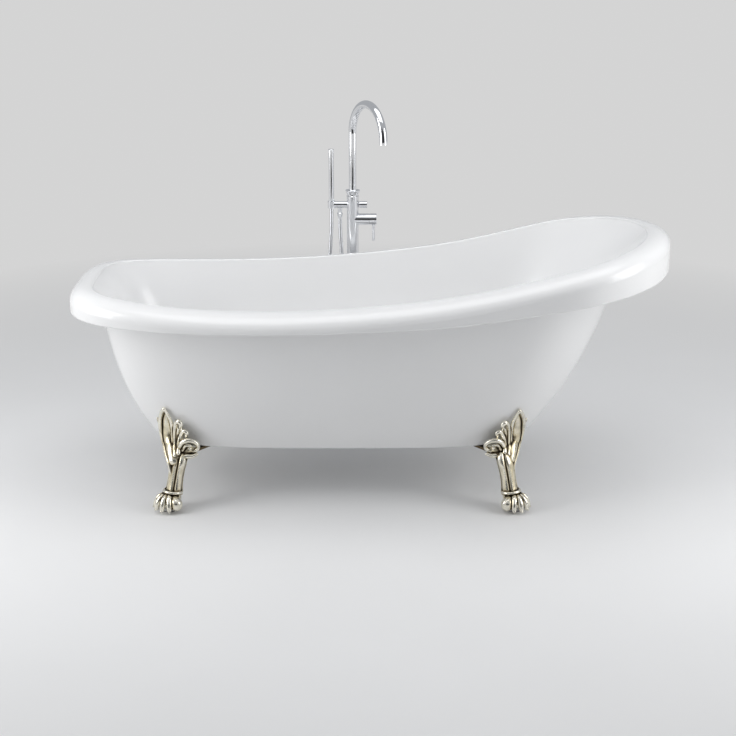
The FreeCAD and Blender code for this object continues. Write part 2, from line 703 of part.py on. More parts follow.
# Scroll across the knee: outward of the paw's centre, drop below the clearance, radius and length.
SCROLL_OUT = -50
SCROLL_DROP = 5
SCROLL_RADIUS = 17
SCROLL_LENGTH = 84
# Tongue: its start inward of the paw's centre, and its margin past the last washer.
TONGUE_START = 45
TONGUE_MARGIN = 4


def paw_shape(centre, out, side):
    """Heel and toes of the paw, over its sole."""
    sole = size("sole_height")
    heel, instep = [Part.makeSphere(radius, centre + out * outward + Vector(0, 0, height))
                    for outward, height, radius in (HEEL, INSTEP)]
    paw = heel.fuse(instep)
    for sideways, reach in TOES:
        knuckle = centre + out * (reach * KNUCKLE_SHARE) + side * sideways + Vector(0, 0, KNUCKLE_HEIGHT)
        tip = centre + out * reach + side * (sideways * TOE_TIP_SPREAD) + Vector(0, 0, TOE_TIP_HEIGHT)
        toe = Part.makeSphere(TOE_RADIUS, knuckle).fuse(Part.makeSphere(TOE_RADIUS, tip))
        bone = Part.makeCylinder(TOE_RADIUS, (tip - knuckle).Length, knuckle, tip - knuckle)
        claw = Part.makeCone(CLAW_ROOT, CLAW_TIP, CLAW_LENGTH, tip + out * CLAW_START,
                             out * CLAW_SLANT - Vector(0, 0, 1))
        paw = paw.fuse([toe, bone, claw])
    ground = Part.makeCylinder(PAW_ROOM, PAW_ROOM, centre + Vector(0, 0, sole - PAW_ROOM))
    return paw.cut(ground)


def leg_shape(centre, out, side):
    """The shank from the paw to the leaf's root, and the scroll across the knee."""
    sections = [local_ellipse(centre + out * u + Vector(0, 0, CLEARANCE * share), out, side, depth, width)
                for u, share, depth, width in SHANK]
    shank = Part.makeLoft(sections, True, False)
    knee = centre + out * SCROLL_OUT + Vector(0, 0, CLEARANCE - SCROLL_DROP)
    scroll = Part.makeCylinder(SCROLL_RADIUS, SCROLL_LENGTH, knee - side * (SCROLL_LENGTH / 2), side)
    return shank.fuse(scroll)


def tongue_shape(centre, out, side):
    """The bolting tongue under the outer skin."""
    reach = size("bolt_near") + size("bolt_pitch") + size("washer_radius") + TONGUE_MARGIN
    half = size("tongue_width") / 2
    near = centre - out * TONGUE_START + Vector(0, 0, TONGUE_BOTTOM)
    far = centre - out * reach + Vector(0, 0, TONGUE_BOTTOM)
    corners = [near - side * half, far - side * half, far + side * half, near + side * half]
    return Part.Face(Part.makePolygon(corners + corners[:1])).extrude(Vector(0, 0, size("tongue_thickness")))


def leaf_shape(x, side_x, side_y, seat, front):
    """The leaf that climbs the hull: its outline through a skin that follows the hull."""
    corners = [Vector(x + side_x * outward, 0, CLEARANCE * share) for outward, share in LEAF_OUTLINE]
    outline = Part.Face(Part.makePolygon(corners + corners[:1]))
    prism = outline.extrude(Vector(0, side_y * HALF_WIDTH, 0))
    return prism.common(front.cut(seat))


def foot_shape(side_x, side_y, x, y, seat, front):
    centre = Vector(x, y, 0)
    out = heading(side_x, side_y)
    side = Vector(-out.y, out.x, 0)
    foot = paw_shape(centre, out, side)
    foot = foot.fuse([leg_shape(centre, out, side), tongue_shape(centre, out, side)])
    foot = foot.cut(seat)
    foot = foot.fuse(leaf_shape(x, side_x, side_y, seat, front))
    hole = Part.makeCylinder(size("stud_radius") + size("stud_clearance"),
                             size("stud_length") + 2, Vector(x, y, size("sole_height") - 1))
    tools = [hole] + at_bolts(size("bolt_hole_radius"), HEAD_BOTTOM, size("ground_clearance") + 1)
    foot = foot.cut(Part.makeCompound(tools))
    return foot


SEAT = hull_block(size("seat_gap"))
LEAF_FRONT = hull_block(size("leaf_thickness"))
for foot_name, side_x, side_y, foot_x, foot_y in foot_positions():
    shape = foot_shape(side_x, side_y, foot_x, foot_y, SEAT, LEAF_FRONT)
    bath_node("foot_" + foot_name, shape)
    spot = {"x": str(foot_x), "y": str(foot_y + TUB_Y)}
    glide = turned("leveller_" + foot_name,
                   [("0", "Sizes.glide_rubber"),
                    ("Sizes.glide_radius", "Sizes.glide_rubber"),
                    ("Sizes.glide_radius", "Sizes.sole_height - Sizes.level_gap"),
                    ("Sizes.stud_radius", "Sizes.sole_height - Sizes.level_gap"),
                    ("Sizes.stud_radius", "Sizes.sole_height + Sizes.stud_length - 1"),
                    ("0", "Sizes.sole_height + Sizes.stud_length - 1")], **spot)
    register(glide, "leveller_" + foot_name)
    pad = cylinder("glide_pad_" + foot_name, "Sizes.glide_radius", "Sizes.glide_rubber", **spot)
    register(pad, "glide_pad_" + foot_name)


# ---------------------------------------------------------------- waste

WASTE = {"x": str(WASTE_X), "y": str(TUB_Y)}
waste_floor = "(Sizes.ground_clearance + Sizes.shell_wall + Sizes.board_thickness + Sizes.basin_wall)"
seal_top = waste_floor + " + Sizes.waste_seal"
flange_top = seal_top + " + Sizes.waste_flange_thickness"
floor_under = waste_floor + " - Sizes.basin_wall"
nut_top = floor_under + " - Sizes.waste_seal"
register(turned("waste_body",
                [("Sizes.waste_bore_radius", "Sizes.waste_tail_end"),
                 ("Sizes.waste_tail_radius", "Sizes.waste_tail_end"),
                 ("Sizes.waste_tail_radius", nut_top + " - Sizes.backnut_height"),
                 ("Sizes.waste_thread_radius", nut_top + " - Sizes.backnut_height"),
                 ("Sizes.waste_thread_radius", nut_top),
                 ("Sizes.waste_tail_radius", nut_top),
                 ("Sizes.waste_tail_radius", seal_top),
                 ("Sizes.waste_flange_radius", seal_top),
                 ("Sizes.waste_flange_radius - 1.5", flange_top),
                 ("Sizes.waste_bore_radius + 2", flange_top),
                 ("Sizes.waste_bore_radius", seal_top + " - 3")], **WASTE), "waste_body")
register(turned("waste_seal_upper",
                [("Sizes.waste_tail_radius", waste_floor),
                 ("Sizes.waste_flange_radius - 1", waste_floor),
                 ("Sizes.waste_flange_radius - 1", seal_top),
                 ("Sizes.waste_tail_radius", seal_top)], **WASTE), "waste_seal_upper")
register(turned("waste_seal_lower",
                [("Sizes.waste_tail_radius", nut_top),
                 ("Sizes.backnut_radius - 1", nut_top),
                 ("Sizes.backnut_radius - 1", floor_under),
                 ("Sizes.waste_tail_radius", floor_under)], **WASTE), "waste_seal_lower")
nut_blank = turned("backnut_blank",
                   [("Sizes.waste_thread_radius", nut_top + " - Sizes.backnut_height"),
                    ("Sizes.backnut_radius", nut_top + " - Sizes.backnut_height"),
                    ("Sizes.backnut_radius", nut_top),
                    ("Sizes.waste_thread_radius", nut_top)], **WASTE)
register(nut_blank, "waste_backnut")

plug_bottom = flange_top + " + Sizes.plug_gap + Sizes.waste_seal"
guide_top = seal_top + " - 8"
register(turned("waste_plug",
                [("0", plug_bottom + " - Sizes.waste_seal - Sizes.plug_stem_length"),
                 ("Sizes.plug_stem_radius", plug_bottom + " - Sizes.waste_seal - Sizes.plug_stem_length"),
                 ("Sizes.plug_stem_radius", plug_bottom),
                 ("Sizes.plug_radius", plug_bottom),
                 ("Sizes.plug_radius", plug_bottom + " + Sizes.plug_height * 0.4"),
                 ("Sizes.plug_radius * 0.8", plug_bottom + " + Sizes.plug_height * 0.85"),
                 ("0", plug_bottom + " + Sizes.plug_height")], **WASTE), "waste_plug")
register(turned("plug_seal",
                [("Sizes.plug_stem_radius", plug_bottom + " - Sizes.waste_seal"),
                 ("Sizes.waste_bore_radius + 6", plug_bottom + " - Sizes.waste_seal"),
                 ("Sizes.waste_bore_radius + 6", plug_bottom),
                 ("Sizes.plug_stem_radius", plug_bottom)], **WASTE), "plug_seal")
guide_ring = turned("guide_hub",
                    [("Sizes.plug_stem_radius + Sizes.stem_clearance", guide_top + " - 10"),
                     ("8", guide_top + " - 10"),
                     ("8", guide_top),
                     ("Sizes.plug_stem_radius + Sizes.stem_clearance", guide_top)], **WASTE)
SPOKE_WIDTH = 3
SPOKE_REACH = size("waste_bore_radius") - 0.2
spokes = []
for name, half_x, half_y in (("guide_spoke_x", SPOKE_REACH, SPOKE_WIDTH / 2),
                             ("guide_spoke_y", SPOKE_WIDTH / 2, SPOKE_REACH)):
    spokes.append(box(name, str(2 * half_x), str(2 * half_y), "6",
                      str(WASTE_X - half_x), str(TUB_Y - half_y), guide_top + " - 8"))
guide_cross = fuse("guide_cross", spokes)
guide_hole = cylinder("guide_hole", "Sizes.plug_stem_radius + Sizes.stem_clearance + 1", "30",
                      WASTE["x"], WASTE["y"], guide_top + " - 20")
guide_arms = cut("guide_arms", guide_cross, guide_hole)
register(fuse("plug_guide", [guide_ring, guide_arms]), "plug_guide")


# ---------------------------------------------------------------- filler: stand

TAP_Y = TUB_Y + TAP_REACH
AXIS = {"x": "Sizes.tap_x", "y": str(TAP_Y)}
SIDEWAYS = Rotation(Vector(0, 1, 0), 90)
SIDEWAYS_LEFT = Rotation(Vector(0, 1, 0), -90)
column_bore = "(Sizes.column_radius - Sizes.column_wall)"

plate_blank = turned("plate_blank",
                     [("Sizes.spigot_bore_radius", "0"),
                      ("Sizes.plate_radius", "0"),
                      ("Sizes.plate_radius", "Sizes.plate_thickness - 1.5"),
                      ("Sizes.plate_radius - 1.5", "Sizes.plate_thickness"),
                      (column_bore + " - Sizes.fit_gap", "Sizes.plate_thickness"),
                      (column_bore + " - Sizes.fit_gap", "Sizes.spigot_height"),
                      ("Sizes.spigot_bore_radius", "Sizes.spigot_height")], **AXIS)
plate_holes = []
for number in range(4):
    angle = math.radians(45 + 90 * number)
    plate_holes.append(cylinder("plate_hole_%d" % number, "Sizes.plate_hole_radius", "4 * Sizes.plate_thickness",
                                "Sizes.tap_x + Sizes.plate_bolt_circle / 2 * %.6f" % math.cos(angle),
                                "%s + Sizes.plate_bolt_circle / 2 * %.6f" % (TAP_Y, math.sin(angle)),
                                "-Sizes.plate_thickness"))
register(cut("floor_plate", plate_blank, fuse("plate_hole_group", plate_holes)), "floor_plate")

block_blank = cylinder("inlet_blank", "Sizes.spigot_bore_radius - Sizes.fit_gap", "Sizes.inlet_block_height",
                       z="0", **AXIS)
inlet_holes = []
for side in (-1, 1):
    inlet_holes.append(cylinder("inlet_%d" % (side + 1), "Sizes.inlet_radius", "Sizes.inlet_depth + 1",
                                "Sizes.tap_x + %d * Sizes.inlet_spacing / 2" % side, AXIS["y"], "-1"))
    inlet_holes.append(cylinder("inlet_way_%d" % (side + 1), "Sizes.supply_bore_radius", "50",
                                "Sizes.tap_x + %d * Sizes.inlet_spacing / 2" % side, AXIS["y"], "0"))
register(cut("inlet_block", block_blank, fuse("inlet_group", inlet_holes)), "inlet_block")

for side, label in ((-1, "supply_pipe_cold"), (1, "supply_pipe_hot")):
    register(turned(label,
                    [("Sizes.supply_bore_radius", "Sizes.inlet_block_height"),
                     ("Sizes.supply_radius", "Sizes.inlet_block_height"),
                     ("Sizes.supply_radius", "Sizes.valve_block_bottom"),
                     ("Sizes.supply_bore_radius", "Sizes.valve_block_bottom")],
                    x="Sizes.tap_x + %d * Sizes.inlet_spacing / 2" % side, y=AXIS["y"]), label)

column_tube = turned("column_tube",
                     [(column_bore, "Sizes.plate_thickness"),
                      ("Sizes.column_radius", "Sizes.plate_thickness"),
                      ("Sizes.column_radius", "Sizes.column_top"),
                      (column_bore, "Sizes.column_top")], **AXIS)
stem_hole = cylinder("column_stem_hole", "Sizes.knob_stem_radius + 0.5", "2 * Sizes.column_radius",
                     AXIS["x"], AXIS["y"], "Sizes.diverter_height", SIDEWAYS)
register(cut("column", column_tube, stem_hole), "column")


# ---------------------------------------------------------------- filler: valve group

valve_blank = cylinder("valve_blank", column_bore + " - Sizes.fit_gap",
                       "Sizes.valve_block_top - Sizes.valve_block_bottom", z="Sizes.valve_block_bottom", **AXIS)
stem_bore = cylinder("stem_bore", "Sizes.knob_stem_radius + Sizes.spindle_clearance", "2 * Sizes.column_radius",
                     "Sizes.tap_x + Sizes.column_radius - Sizes.knob_stem_length - 1", AXIS["y"],
                     "Sizes.diverter_height", SIDEWAYS)
register(cut("valve_block", valve_blank, stem_bore), "valve_block")

mixer_rod = cylinder("mixer_rod", "Sizes.mixer_radius", "Sizes.mixer_body_end",
                     AXIS["x"], AXIS["y"], "Sizes.mixer_height", SIDEWAYS)
mixer_saddle = cylinder("mixer_saddle", "Sizes.column_radius", "4 * Sizes.mixer_radius",
                        AXIS["x"], AXIS["y"], "Sizes.mixer_height - 2 * Sizes.mixer_radius")
mixer_shell = cut("mixer_shell", mixer_rod, mixer_saddle)
cartridge_start = "Sizes.tap_x + Sizes.column_radius + 4"
mixer_bore = cylinder("mixer_bore", "Sizes.cartridge_radius", "Sizes.mixer_body_end",
                      cartridge_start, AXIS["y"], "Sizes.mixer_height", SIDEWAYS)
register(cut("mixer_body", mixer_shell, mixer_bore), "mixer_body")

cartridge_length = "(Sizes.mixer_body_end - Sizes.column_radius - 4)"
spindle_end = cartridge_length + " + Sizes.mixer_cap_gap + Sizes.mixer_cap_length / 3"
register(turned("mixer_cartridge",
                [("0", "0"),
                 ("Sizes.cartridge_radius", "0"),
                 ("Sizes.cartridge_radius", cartridge_length),
                 ("Sizes.spindle_radius", cartridge_length),
                 ("Sizes.spindle_radius", spindle_end),
                 ("0", spindle_end)],
                cartridge_start, AXIS["y"], "Sizes.mixer_height", SIDEWAYS), "mixer_cartridge")

cap_start = "Sizes.tap_x + Sizes.mixer_body_end + Sizes.mixer_cap_gap"
cap_blank = turned("cap_blank",
                   [("0", "Sizes.mixer_cap_length / 3 + 1"),
                    ("Sizes.spindle_radius + Sizes.spindle_clearance", "Sizes.mixer_cap_length / 3 + 1"),
                    ("Sizes.spindle_radius + Sizes.spindle_clearance", "0"),
                    ("Sizes.mixer_radius - 0.8", "0"),
                    ("Sizes.mixer_radius", "0.8"),
                    ("Sizes.mixer_radius", "Sizes.mixer_cap_length - 0.8"),
                    ("Sizes.mixer_radius - 0.8", "Sizes.mixer_cap_length"),
                    ("0", "Sizes.mixer_cap_length")],
                   cap_start, AXIS["y"], "Sizes.mixer_height", SIDEWAYS)
slot_side = "(Sizes.lever_radius + Sizes.lever_clearance)"
lever_slot = box("lever_slot", "2 * " + slot_side + " + 2.6", "2 * " + slot_side, "Sizes.mixer_radius",
                 "Sizes.tap_x + Sizes.lever_x - " + slot_side, AXIS["y"] + " - " + slot_side,
                 "Sizes.mixer_height - Sizes.mixer_radius - Sizes.lever_pivot_drop + 6")
register(cut("mixer_cap", cap_blank, lever_slot), "mixer_cap")

pivot_height = "Sizes.mixer_height - Sizes.lever_pivot_drop"
lever_pin = turned("lever_pin",
                   [("0", "0"),
                    ("Sizes.lever_radius - 1", "0"),
                    ("Sizes.lever_radius", "1"),
                    ("Sizes.lever_radius", "Sizes.lever_length"),
                    ("0", "Sizes.lever_length")],
                   "Sizes.tap_x + Sizes.lever_x", AXIS["y"], pivot_height + " - Sizes.lever_length")
lever_head = cylinder("lever_head", "Sizes.lever_radius", "2 * Sizes.lever_radius", "Sizes.tap_x + Sizes.lever_x",
                      AXIS["y"] + " + Sizes.lever_radius", pivot_height, Rotation(Vector(1, 0, 0), 90))
register(fuse("mixer_lever", [lever_pin, lever_head]), "mixer_lever")

knob_start = "(Sizes.column_radius + Sizes.knob_gap)"
register(turned("diverter_knob",
                [("0", "Sizes.column_radius - Sizes.knob_stem_length"),
                 ("Sizes.knob_stem_radius", "Sizes.column_radius - Sizes.knob_stem_length"),
                 ("Sizes.knob_stem_radius", knob_start),
                 ("Sizes.arm_radius - 0.6", knob_start),
                 ("Sizes.arm_radius", knob_start + " + 0.6"),
                 ("Sizes.arm_radius", "Sizes.knob_end - 0.6"),
                 ("Sizes.arm_radius - 0.6", "Sizes.knob_end"),
                 ("0", "Sizes.knob_end")],
                AXIS["x"], AXIS["y"], "Sizes.diverter_height", SIDEWAYS), "diverter_knob")

arm_rod = cylinder("arm_rod", "Sizes.arm_radius", "Sizes.handset_offset",
                   AXIS["x"], AXIS["y"], "Sizes.diverter_height", SIDEWAYS_LEFT)
arm_saddle = cylinder("arm_saddle", "Sizes.column_radius", "4 * Sizes.arm_radius",
                      AXIS["x"], AXIS["y"], "Sizes.diverter_height - 2 * Sizes.arm_radius")
arm_part = cut("arm_part", arm_rod, arm_saddle)
handset_x = "Sizes.tap_x - Sizes.handset_offset"
cradle_bottom = "(Sizes.diverter_height - Sizes.arm_radius)"
cradle_top = "(Sizes.diverter_height + Sizes.arm_radius)"
cradle_ring = cylinder("cradle_ring", "Sizes.cradle_radius", "2 * Sizes.arm_radius",
                       handset_x, AXIS["y"], cradle_bottom)
outlet_bottom = "(Sizes.diverter_height - Sizes.arm_radius - Sizes.outlet_drop)"
outlet_boss = cylinder("outlet_boss", "Sizes.hose_radius + 0.7", "Sizes.arm_radius + Sizes.outlet_drop",
                       "Sizes.tap_x - Sizes.outlet_offset", AXIS["y"], outlet_bottom)
cone_wide = "(Sizes.handset_radius + Sizes.cone_clearance)"
cone_narrow = "(Sizes.hose_radius + 2 * Sizes.cone_clearance)"
cone_space = turned("cone_space",
                    [("0", "-1"),
                     (cone_narrow, "-1"),
                     (cone_narrow, "2 * Sizes.arm_radius - Sizes.cone_length"),
                     (cone_wide, "2 * Sizes.arm_radius"),
                     (cone_wide, "2 * Sizes.arm_radius + 1"),
                     ("0", "2 * Sizes.arm_radius + 1")],
                    handset_x, AXIS["y"], cradle_bottom)
register(cut("handset_arm", fuse("arm_group", [arm_part, cradle_ring, outlet_boss]), cone_space), "handset_arm")


# ---------------------------------------------------------------- filler: collar and spout

collar_bore = "(Sizes.spout_radius + Sizes.spout_clearance)"
collar_top = "(Sizes.column_top + Sizes.collar_height)"
register(turned("spout_collar",
                [(collar_bore, "Sizes.column_top"),
                 ("Sizes.collar_neck_radius", "Sizes.column_top"),
                 ("Sizes.collar_neck_radius", "Sizes.column_top + Sizes.collar_height * 0.4"),
                 ("Sizes.column_radius - 1", "Sizes.column_top + Sizes.collar_height * 0.48"),
                 ("Sizes.column_radius - 1", "Sizes.column_top + Sizes.collar_height * 0.6"),
                 ("Sizes.collar_radius", collar_top + " - 2.5"),
                 ("Sizes.collar_radius", collar_top),
                 ("Sizes.collar_radius - 2", collar_top),
                 (collar_bore + " + 2", collar_top + " - 4"),
                 (collar_bore, collar_top + " - 4")], **AXIS), "spout_collar")


def spout():
    """The gooseneck: a straight rise, a half circle and a short drop."""
    bend = size("spout_bend")
    start = Vector(0, 0, size("column_top"))
    spring = Vector(0, 0, size("spout_spring"))
    crown = Vector(bend, 0, size("spout_spring") + bend)
    over = Vector(2 * bend, 0, size("spout_spring"))
    tip = over - Vector(0, 0, size("spout_drop") + size("aerator_length"))
    path = Part.Wire([Part.LineSegment(start, spring).toShape(),
                      Part.Arc(spring, crown, over).toShape(),
                      Part.LineSegment(over, tip).toShape()])
    rims = [Part.Wire(Part.Circle(start, Vector(0, 0, 1), radius).toShape())
            for radius in (size("spout_radius"), size("spout_radius") - size("spout_wall"))]
    outside, inside = [path.makePipeShell([rim], True, True) for rim in rims]
    tube = outside.cut(inside)
    tube.rotate(Vector(0, 0, 0), Vector(0, 0, 1), size("spout_heading"))
    tube.translate(Vector(size("tap_x"), TAP_Y, 0))
    return tube


register(solid("spout", spout()), "spout")

heading_angle = math.radians(size("spout_heading"))
tip_height = "Sizes.spout_spring - Sizes.spout_drop - Sizes.aerator_length"
aerator_radius = "(Sizes.spout_radius - Sizes.spout_wall)"
register(turned("aerator",
                [("0", "3"),
                 (aerator_radius + " - 2", "3"),
                 (aerator_radius + " - 2", "0.5"),
                 (aerator_radius, "0.5"),
                 (aerator_radius, "Sizes.aerator_length"),
                 ("0", "Sizes.aerator_length")],
                "Sizes.tap_x + 2 * Sizes.spout_bend * %.6f" % math.cos(heading_angle),
                "%s + 2 * Sizes.spout_bend * %.6f" % (TAP_Y, math.sin(heading_angle)),
                tip_height), "aerator")


# ---------------------------------------------------------------- filler: handset and hose

handset_bottom = cradle_top + " + Sizes.cone_clearance"
register(turned("handset",
                [("0", "0"),
                 ("Sizes.handset_radius", "0"),
                 ("Sizes.handset_radius", "Sizes.handset_length - 1"),
                 ("Sizes.handset_radius - 1", "Sizes.handset_length"),
                 ("0", "Sizes.handset_length")],
                handset_x, AXIS["y"], handset_bottom), "handset_body")
cone_slope = "(Sizes.handset_radius - Sizes.hose_radius - Sizes.cone_clearance)"
register(turned("handset_cone",
                [("0", "0"),
                 ("Sizes.hose_radius + Sizes.cone_clearance", "0"),
                 ("Sizes.handset_radius", "Sizes.cone_length"),
                 ("0", "Sizes.cone_length")],
                handset_x, AXIS["y"], handset_bottom + " - Sizes.cone_length"), "handset_cone")
register(turned("hose_nut",
                [("0", "0"),
                 ("Sizes.hose_radius + 0.5", "0"),
                 ("Sizes.hose_radius + 2.7", "Sizes.nut_length * 0.3"),
                 ("Sizes.hose_radius + 2.7", "Sizes.nut_length * 0.45"),
                 ("Sizes.hose_radius + 0.7", "Sizes.nut_length * 0.55"),
                 ("Sizes.hose_radius + 0.7", "Sizes.nut_length"),
                 ("0", "Sizes.nut_length")],
                "Sizes.tap_x - Sizes.outlet_offset", AXIS["y"], outlet_bottom + " - Sizes.nut_length"), "hose_nut")

# Points that the hose's runs meet at: along X from the filler axis, and above the floor.
HOSE_LOOP = [(-67, 685), (-69, 630), (-75, 545), (-89, 455), (-112, 370), (-138, 290), (-157, 215), (-157, 162),
             (-126, 120.5), (-76, 120.5), (-43, 162), (-34, 225), (-31.5, 310), (-31.8, 400), (-33, 490),
             (-36.5, 590), (-40.5, 655)]
ARC_SHARE = 0.45


def hose_path():
    """Straight runs joined by tangent arcs, hanging in a loop under the handset arm."""
    tap_x = size("tap_x")
    start = Vector(tap_x - size("handset_offset"), TAP_Y,
                   size("diverter_height") + size("arm_radius") + size("cone_clearance") - size("cone_length"))
    end = Vector(tap_x - size("outlet_offset"), TAP_Y,
                 size("diverter_height") - size("arm_radius") - size("outlet_drop") - size("nut_length"))
    points = [start] + [Vector(tap_x + x, TAP_Y, z) for x, z in HOSE_LOOP] + [end]
    edges = []
    radii = []
    last = points[0]
    for before, corner, after in zip(points, points[1:], points[2:]):
        towards = (corner - before).normalize()
        away = (after - corner).normalize()
        turn = towards.getAngle(away)
        shorter = min((corner - before).Length, (after - corner).Length)
        radius = ARC_SHARE * shorter / math.tan(turn / 2)
        reach = ARC_SHARE * shorter
        first = corner - towards * reach
        final = corner + away * reach
        middle_way = (away - towards).normalize()
        middle = corner + middle_way * (radius / math.cos(turn / 2) - radius)
        edges.append(Part.LineSegment(last, first).toShape())
        edges.append(Part.Arc(first, middle, final).toShape())
        radii.append(radius)
        last = final
    edges.append(Part.LineSegment(last, points[-1]).toShape())
    return Part.Wire(edges), radii


HOSE_PATH, HOSE_RADII = hose_path()


def shower_hose():
    start = HOSE_PATH.Vertexes[0].Point
    first = HOSE_PATH.Edges[0]
    direction = (first.Vertexes[1].Point - first.Vertexes[0].Point).normalize()
    rims = [Part.Wire(Part.Circle(start, direction, radius).toShape())
            for radius in (size("hose_radius"), size("hose_bore_radius"))]
    outside, inside = [HOSE_PATH.makePipeShell([rim], True, False) for rim in rims]
    return outside.cut(inside)


register(solid("shower_hose", shower_hose()), "shower_hose")
print("hose length %.1f, least bend radius %.1f" % (HOSE_PATH.Length, min(HOSE_RADII)))
hose_section = math.pi * (size("hose_radius") ** 2 - size("hose_bore_radius") ** 2)
print("hose volume %.0f, section times length %.0f" % (NODES[-1].Shape.Volume, hose_section * HOSE_PATH.Length))


# ---------------------------------------------------------------- checks and files

doc.recompute()
faults = [obj.Label for obj in doc.Objects if "Invalid" in obj.State or "Error" in obj.State]
for node in NODES:
    if node.Shape.isNull() or not node.Shape.isValid() or not node.Shape.Solids:
        faults.append(node.Label)
if faults:
    raise RuntimeError("unsound objects: " + ", ".join(faults))

os.makedirs("parts", exist_ok=True)
for node in NODES:
    node.Shape.exportStep("parts/" + node.Label + ".step")
bounds = FreeCAD.BoundBox()
for node in NODES:
    if node.Label != "shower_hose":
        bounds.add(node.Shape.BoundBox)
print(len(NODES), "nodes", bounds)
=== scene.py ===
# %% [markdown]
# # A slipper bath on claw feet, with a floor-standing filler
#
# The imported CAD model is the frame: it fixes where every piece is and how it moves. This notebook
# dresses that frame. Turned and formed pieces keep their CAD shape and get a finish. The cast feet and
# the hose are modelled again here, because their looks lie in carved relief and fine ridges.

# %% Load the frame
import json
import math

import bmesh
import bpy
import numpy as np
from mathutils import Euler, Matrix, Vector
from mathutils.bvhtree import BVHTree


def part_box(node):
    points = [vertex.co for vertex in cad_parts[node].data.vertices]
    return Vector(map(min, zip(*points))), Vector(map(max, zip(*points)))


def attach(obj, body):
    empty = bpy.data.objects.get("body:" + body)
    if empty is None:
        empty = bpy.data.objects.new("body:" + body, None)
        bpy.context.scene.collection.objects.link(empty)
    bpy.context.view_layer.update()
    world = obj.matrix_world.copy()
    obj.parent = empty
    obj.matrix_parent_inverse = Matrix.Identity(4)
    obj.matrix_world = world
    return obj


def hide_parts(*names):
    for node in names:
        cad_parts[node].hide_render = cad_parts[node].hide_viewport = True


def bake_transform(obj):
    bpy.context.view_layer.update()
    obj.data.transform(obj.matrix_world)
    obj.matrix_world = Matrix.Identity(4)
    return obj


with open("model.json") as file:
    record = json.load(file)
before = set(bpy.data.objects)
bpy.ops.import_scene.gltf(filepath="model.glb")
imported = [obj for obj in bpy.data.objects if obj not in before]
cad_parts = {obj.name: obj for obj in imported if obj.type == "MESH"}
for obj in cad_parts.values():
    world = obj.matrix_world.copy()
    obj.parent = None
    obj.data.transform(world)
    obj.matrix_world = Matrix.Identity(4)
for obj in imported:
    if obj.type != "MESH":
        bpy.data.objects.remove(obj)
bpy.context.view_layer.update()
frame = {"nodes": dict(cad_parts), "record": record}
NODES = frame["nodes"]
ROOT = "bath_and_stand"
MM = 0.001

# %% [markdown]
# ## The camera
#
# The photograph was taken from a little above the rim, square to the long side. A long lens keeps the
# near and far edges of the rim close in size, so the camera stands four metres away.

# %% Camera at the photograph's angle
FRAME_PIXELS = 736
FOCAL_PIXELS = 1428.84
SENSOR_MM = 36
CAMERA_PITCH_DOWN = math.radians(18.224)
CAMERA_PLACE = (-0.00684, -4.0619, 1.6536)


def link(name, data):
    """A new object in the scene, which shows the given data."""
    piece = bpy.data.objects.new(name, data)
    bpy.context.scene.collection.objects.link(piece)
    return piece


camera_data = bpy.data.cameras.new("camera")
camera_data.sensor_width = SENSOR_MM
camera_data.lens = FOCAL_PIXELS / FRAME_PIXELS * SENSOR_MM
camera = link("camera", camera_data)
camera.location = CAMERA_PLACE
camera.rotation_euler = Euler((math.pi / 2 - CAMERA_PITCH_DOWN, 0, 0))
bpy.context.scene.camera = camera
print("lens %.1f mm" % camera_data.lens)

# %% [markdown]
# ## The hose's route
#
# A shower hose hangs as a slack loop from the hand shower's cone to the nut under the arm. Its points
# are the same as in the CAD source. A NURBS spline turns them into one smooth line, and everything that
# follows the hose reads its points from that spline.

# %% Hose route
TAP_X, TAP_Y = -0.055, 0.385
HOSE_DIAMETER = 0.0126
# Points of the route: sideways from the filler's axis and height, in millimetres.
HOSE_TOP = (-67, 724)
HOSE_END = (-40.5, 693.3)
HOSE_LOOP = [(-67, 685), (-69, 630), (-75, 545), (-89, 455), (-112, 370), (-138, 290), (-157, 215), (-157, 162),
             (-126, 120.5), (-76, 120.5), (-43, 162), (-34, 225), (-31.5, 310), (-31.8, 400),
             (-33, 490), (-36.5, 590), (-40.5, 655)]
HOSE_ROUTE = [(TAP_X + x * MM, TAP_Y, z * MM) for x, z in [HOSE_TOP] + HOSE_LOOP + [HOSE_END]]
SPLINE_STEPS = 40
SPLINE_ORDER = 3


def mesh_of(curve):
    """The mesh that Blender makes of a curve."""
    holder = link(curve.name, curve)
    bpy.context.view_layer.update()
    mesh = bpy.data.meshes.new_from_object(holder)
    bpy.data.objects.remove(holder)
    return mesh


def route_line(name, points):
    """Places along a smooth line that the given points steer."""
    curve = bpy.data.curves.new(name, "CURVE")
    curve.dimensions = "3D"
    curve.resolution_u = SPLINE_STEPS
    spline = curve.splines.new("NURBS")
    spline.points.add(len(points) - 1)
    for point, place in zip(spline.points, points):
        point.co = (*place, 1)
    spline.order_u = SPLINE_ORDER
    spline.use_endpoint_u = True
    return np.array([vertex.co[:] for vertex in mesh_of(curve).vertices])


def evenly(line, gap):
    """Points along a line at equal distances, and the line's length."""
    run = np.concatenate([[0], np.cumsum(np.linalg.norm(np.diff(line, axis=0), axis=1))])
    stations = np.linspace(0, run[-1], int(round(run[-1] / gap)) + 1)
    return np.stack([np.interp(stations, run, line[:, axis]) for axis in range(3)], axis=1), run[-1]


RIDGE_PITCH = 0.0033
POINTS_PER_RIDGE = 3
hose_line, hose_run = evenly(route_line("hose_route", HOSE_ROUTE), RIDGE_PITCH / POINTS_PER_RIDGE)
print("hose spline %.3f m, %d points" % (hose_run, len(hose_line)))

# %% [markdown]
# ## The hose's ridges
#
# A metal shower hose is a strip wound into a tight spiral, which reads as fine rings. A bump map would
# vanish at the outline, so the rings are real: the tube's radius falls once per turn of the strip. A grid
# of quads between rings of points is the plainest way to sweep such a tube.

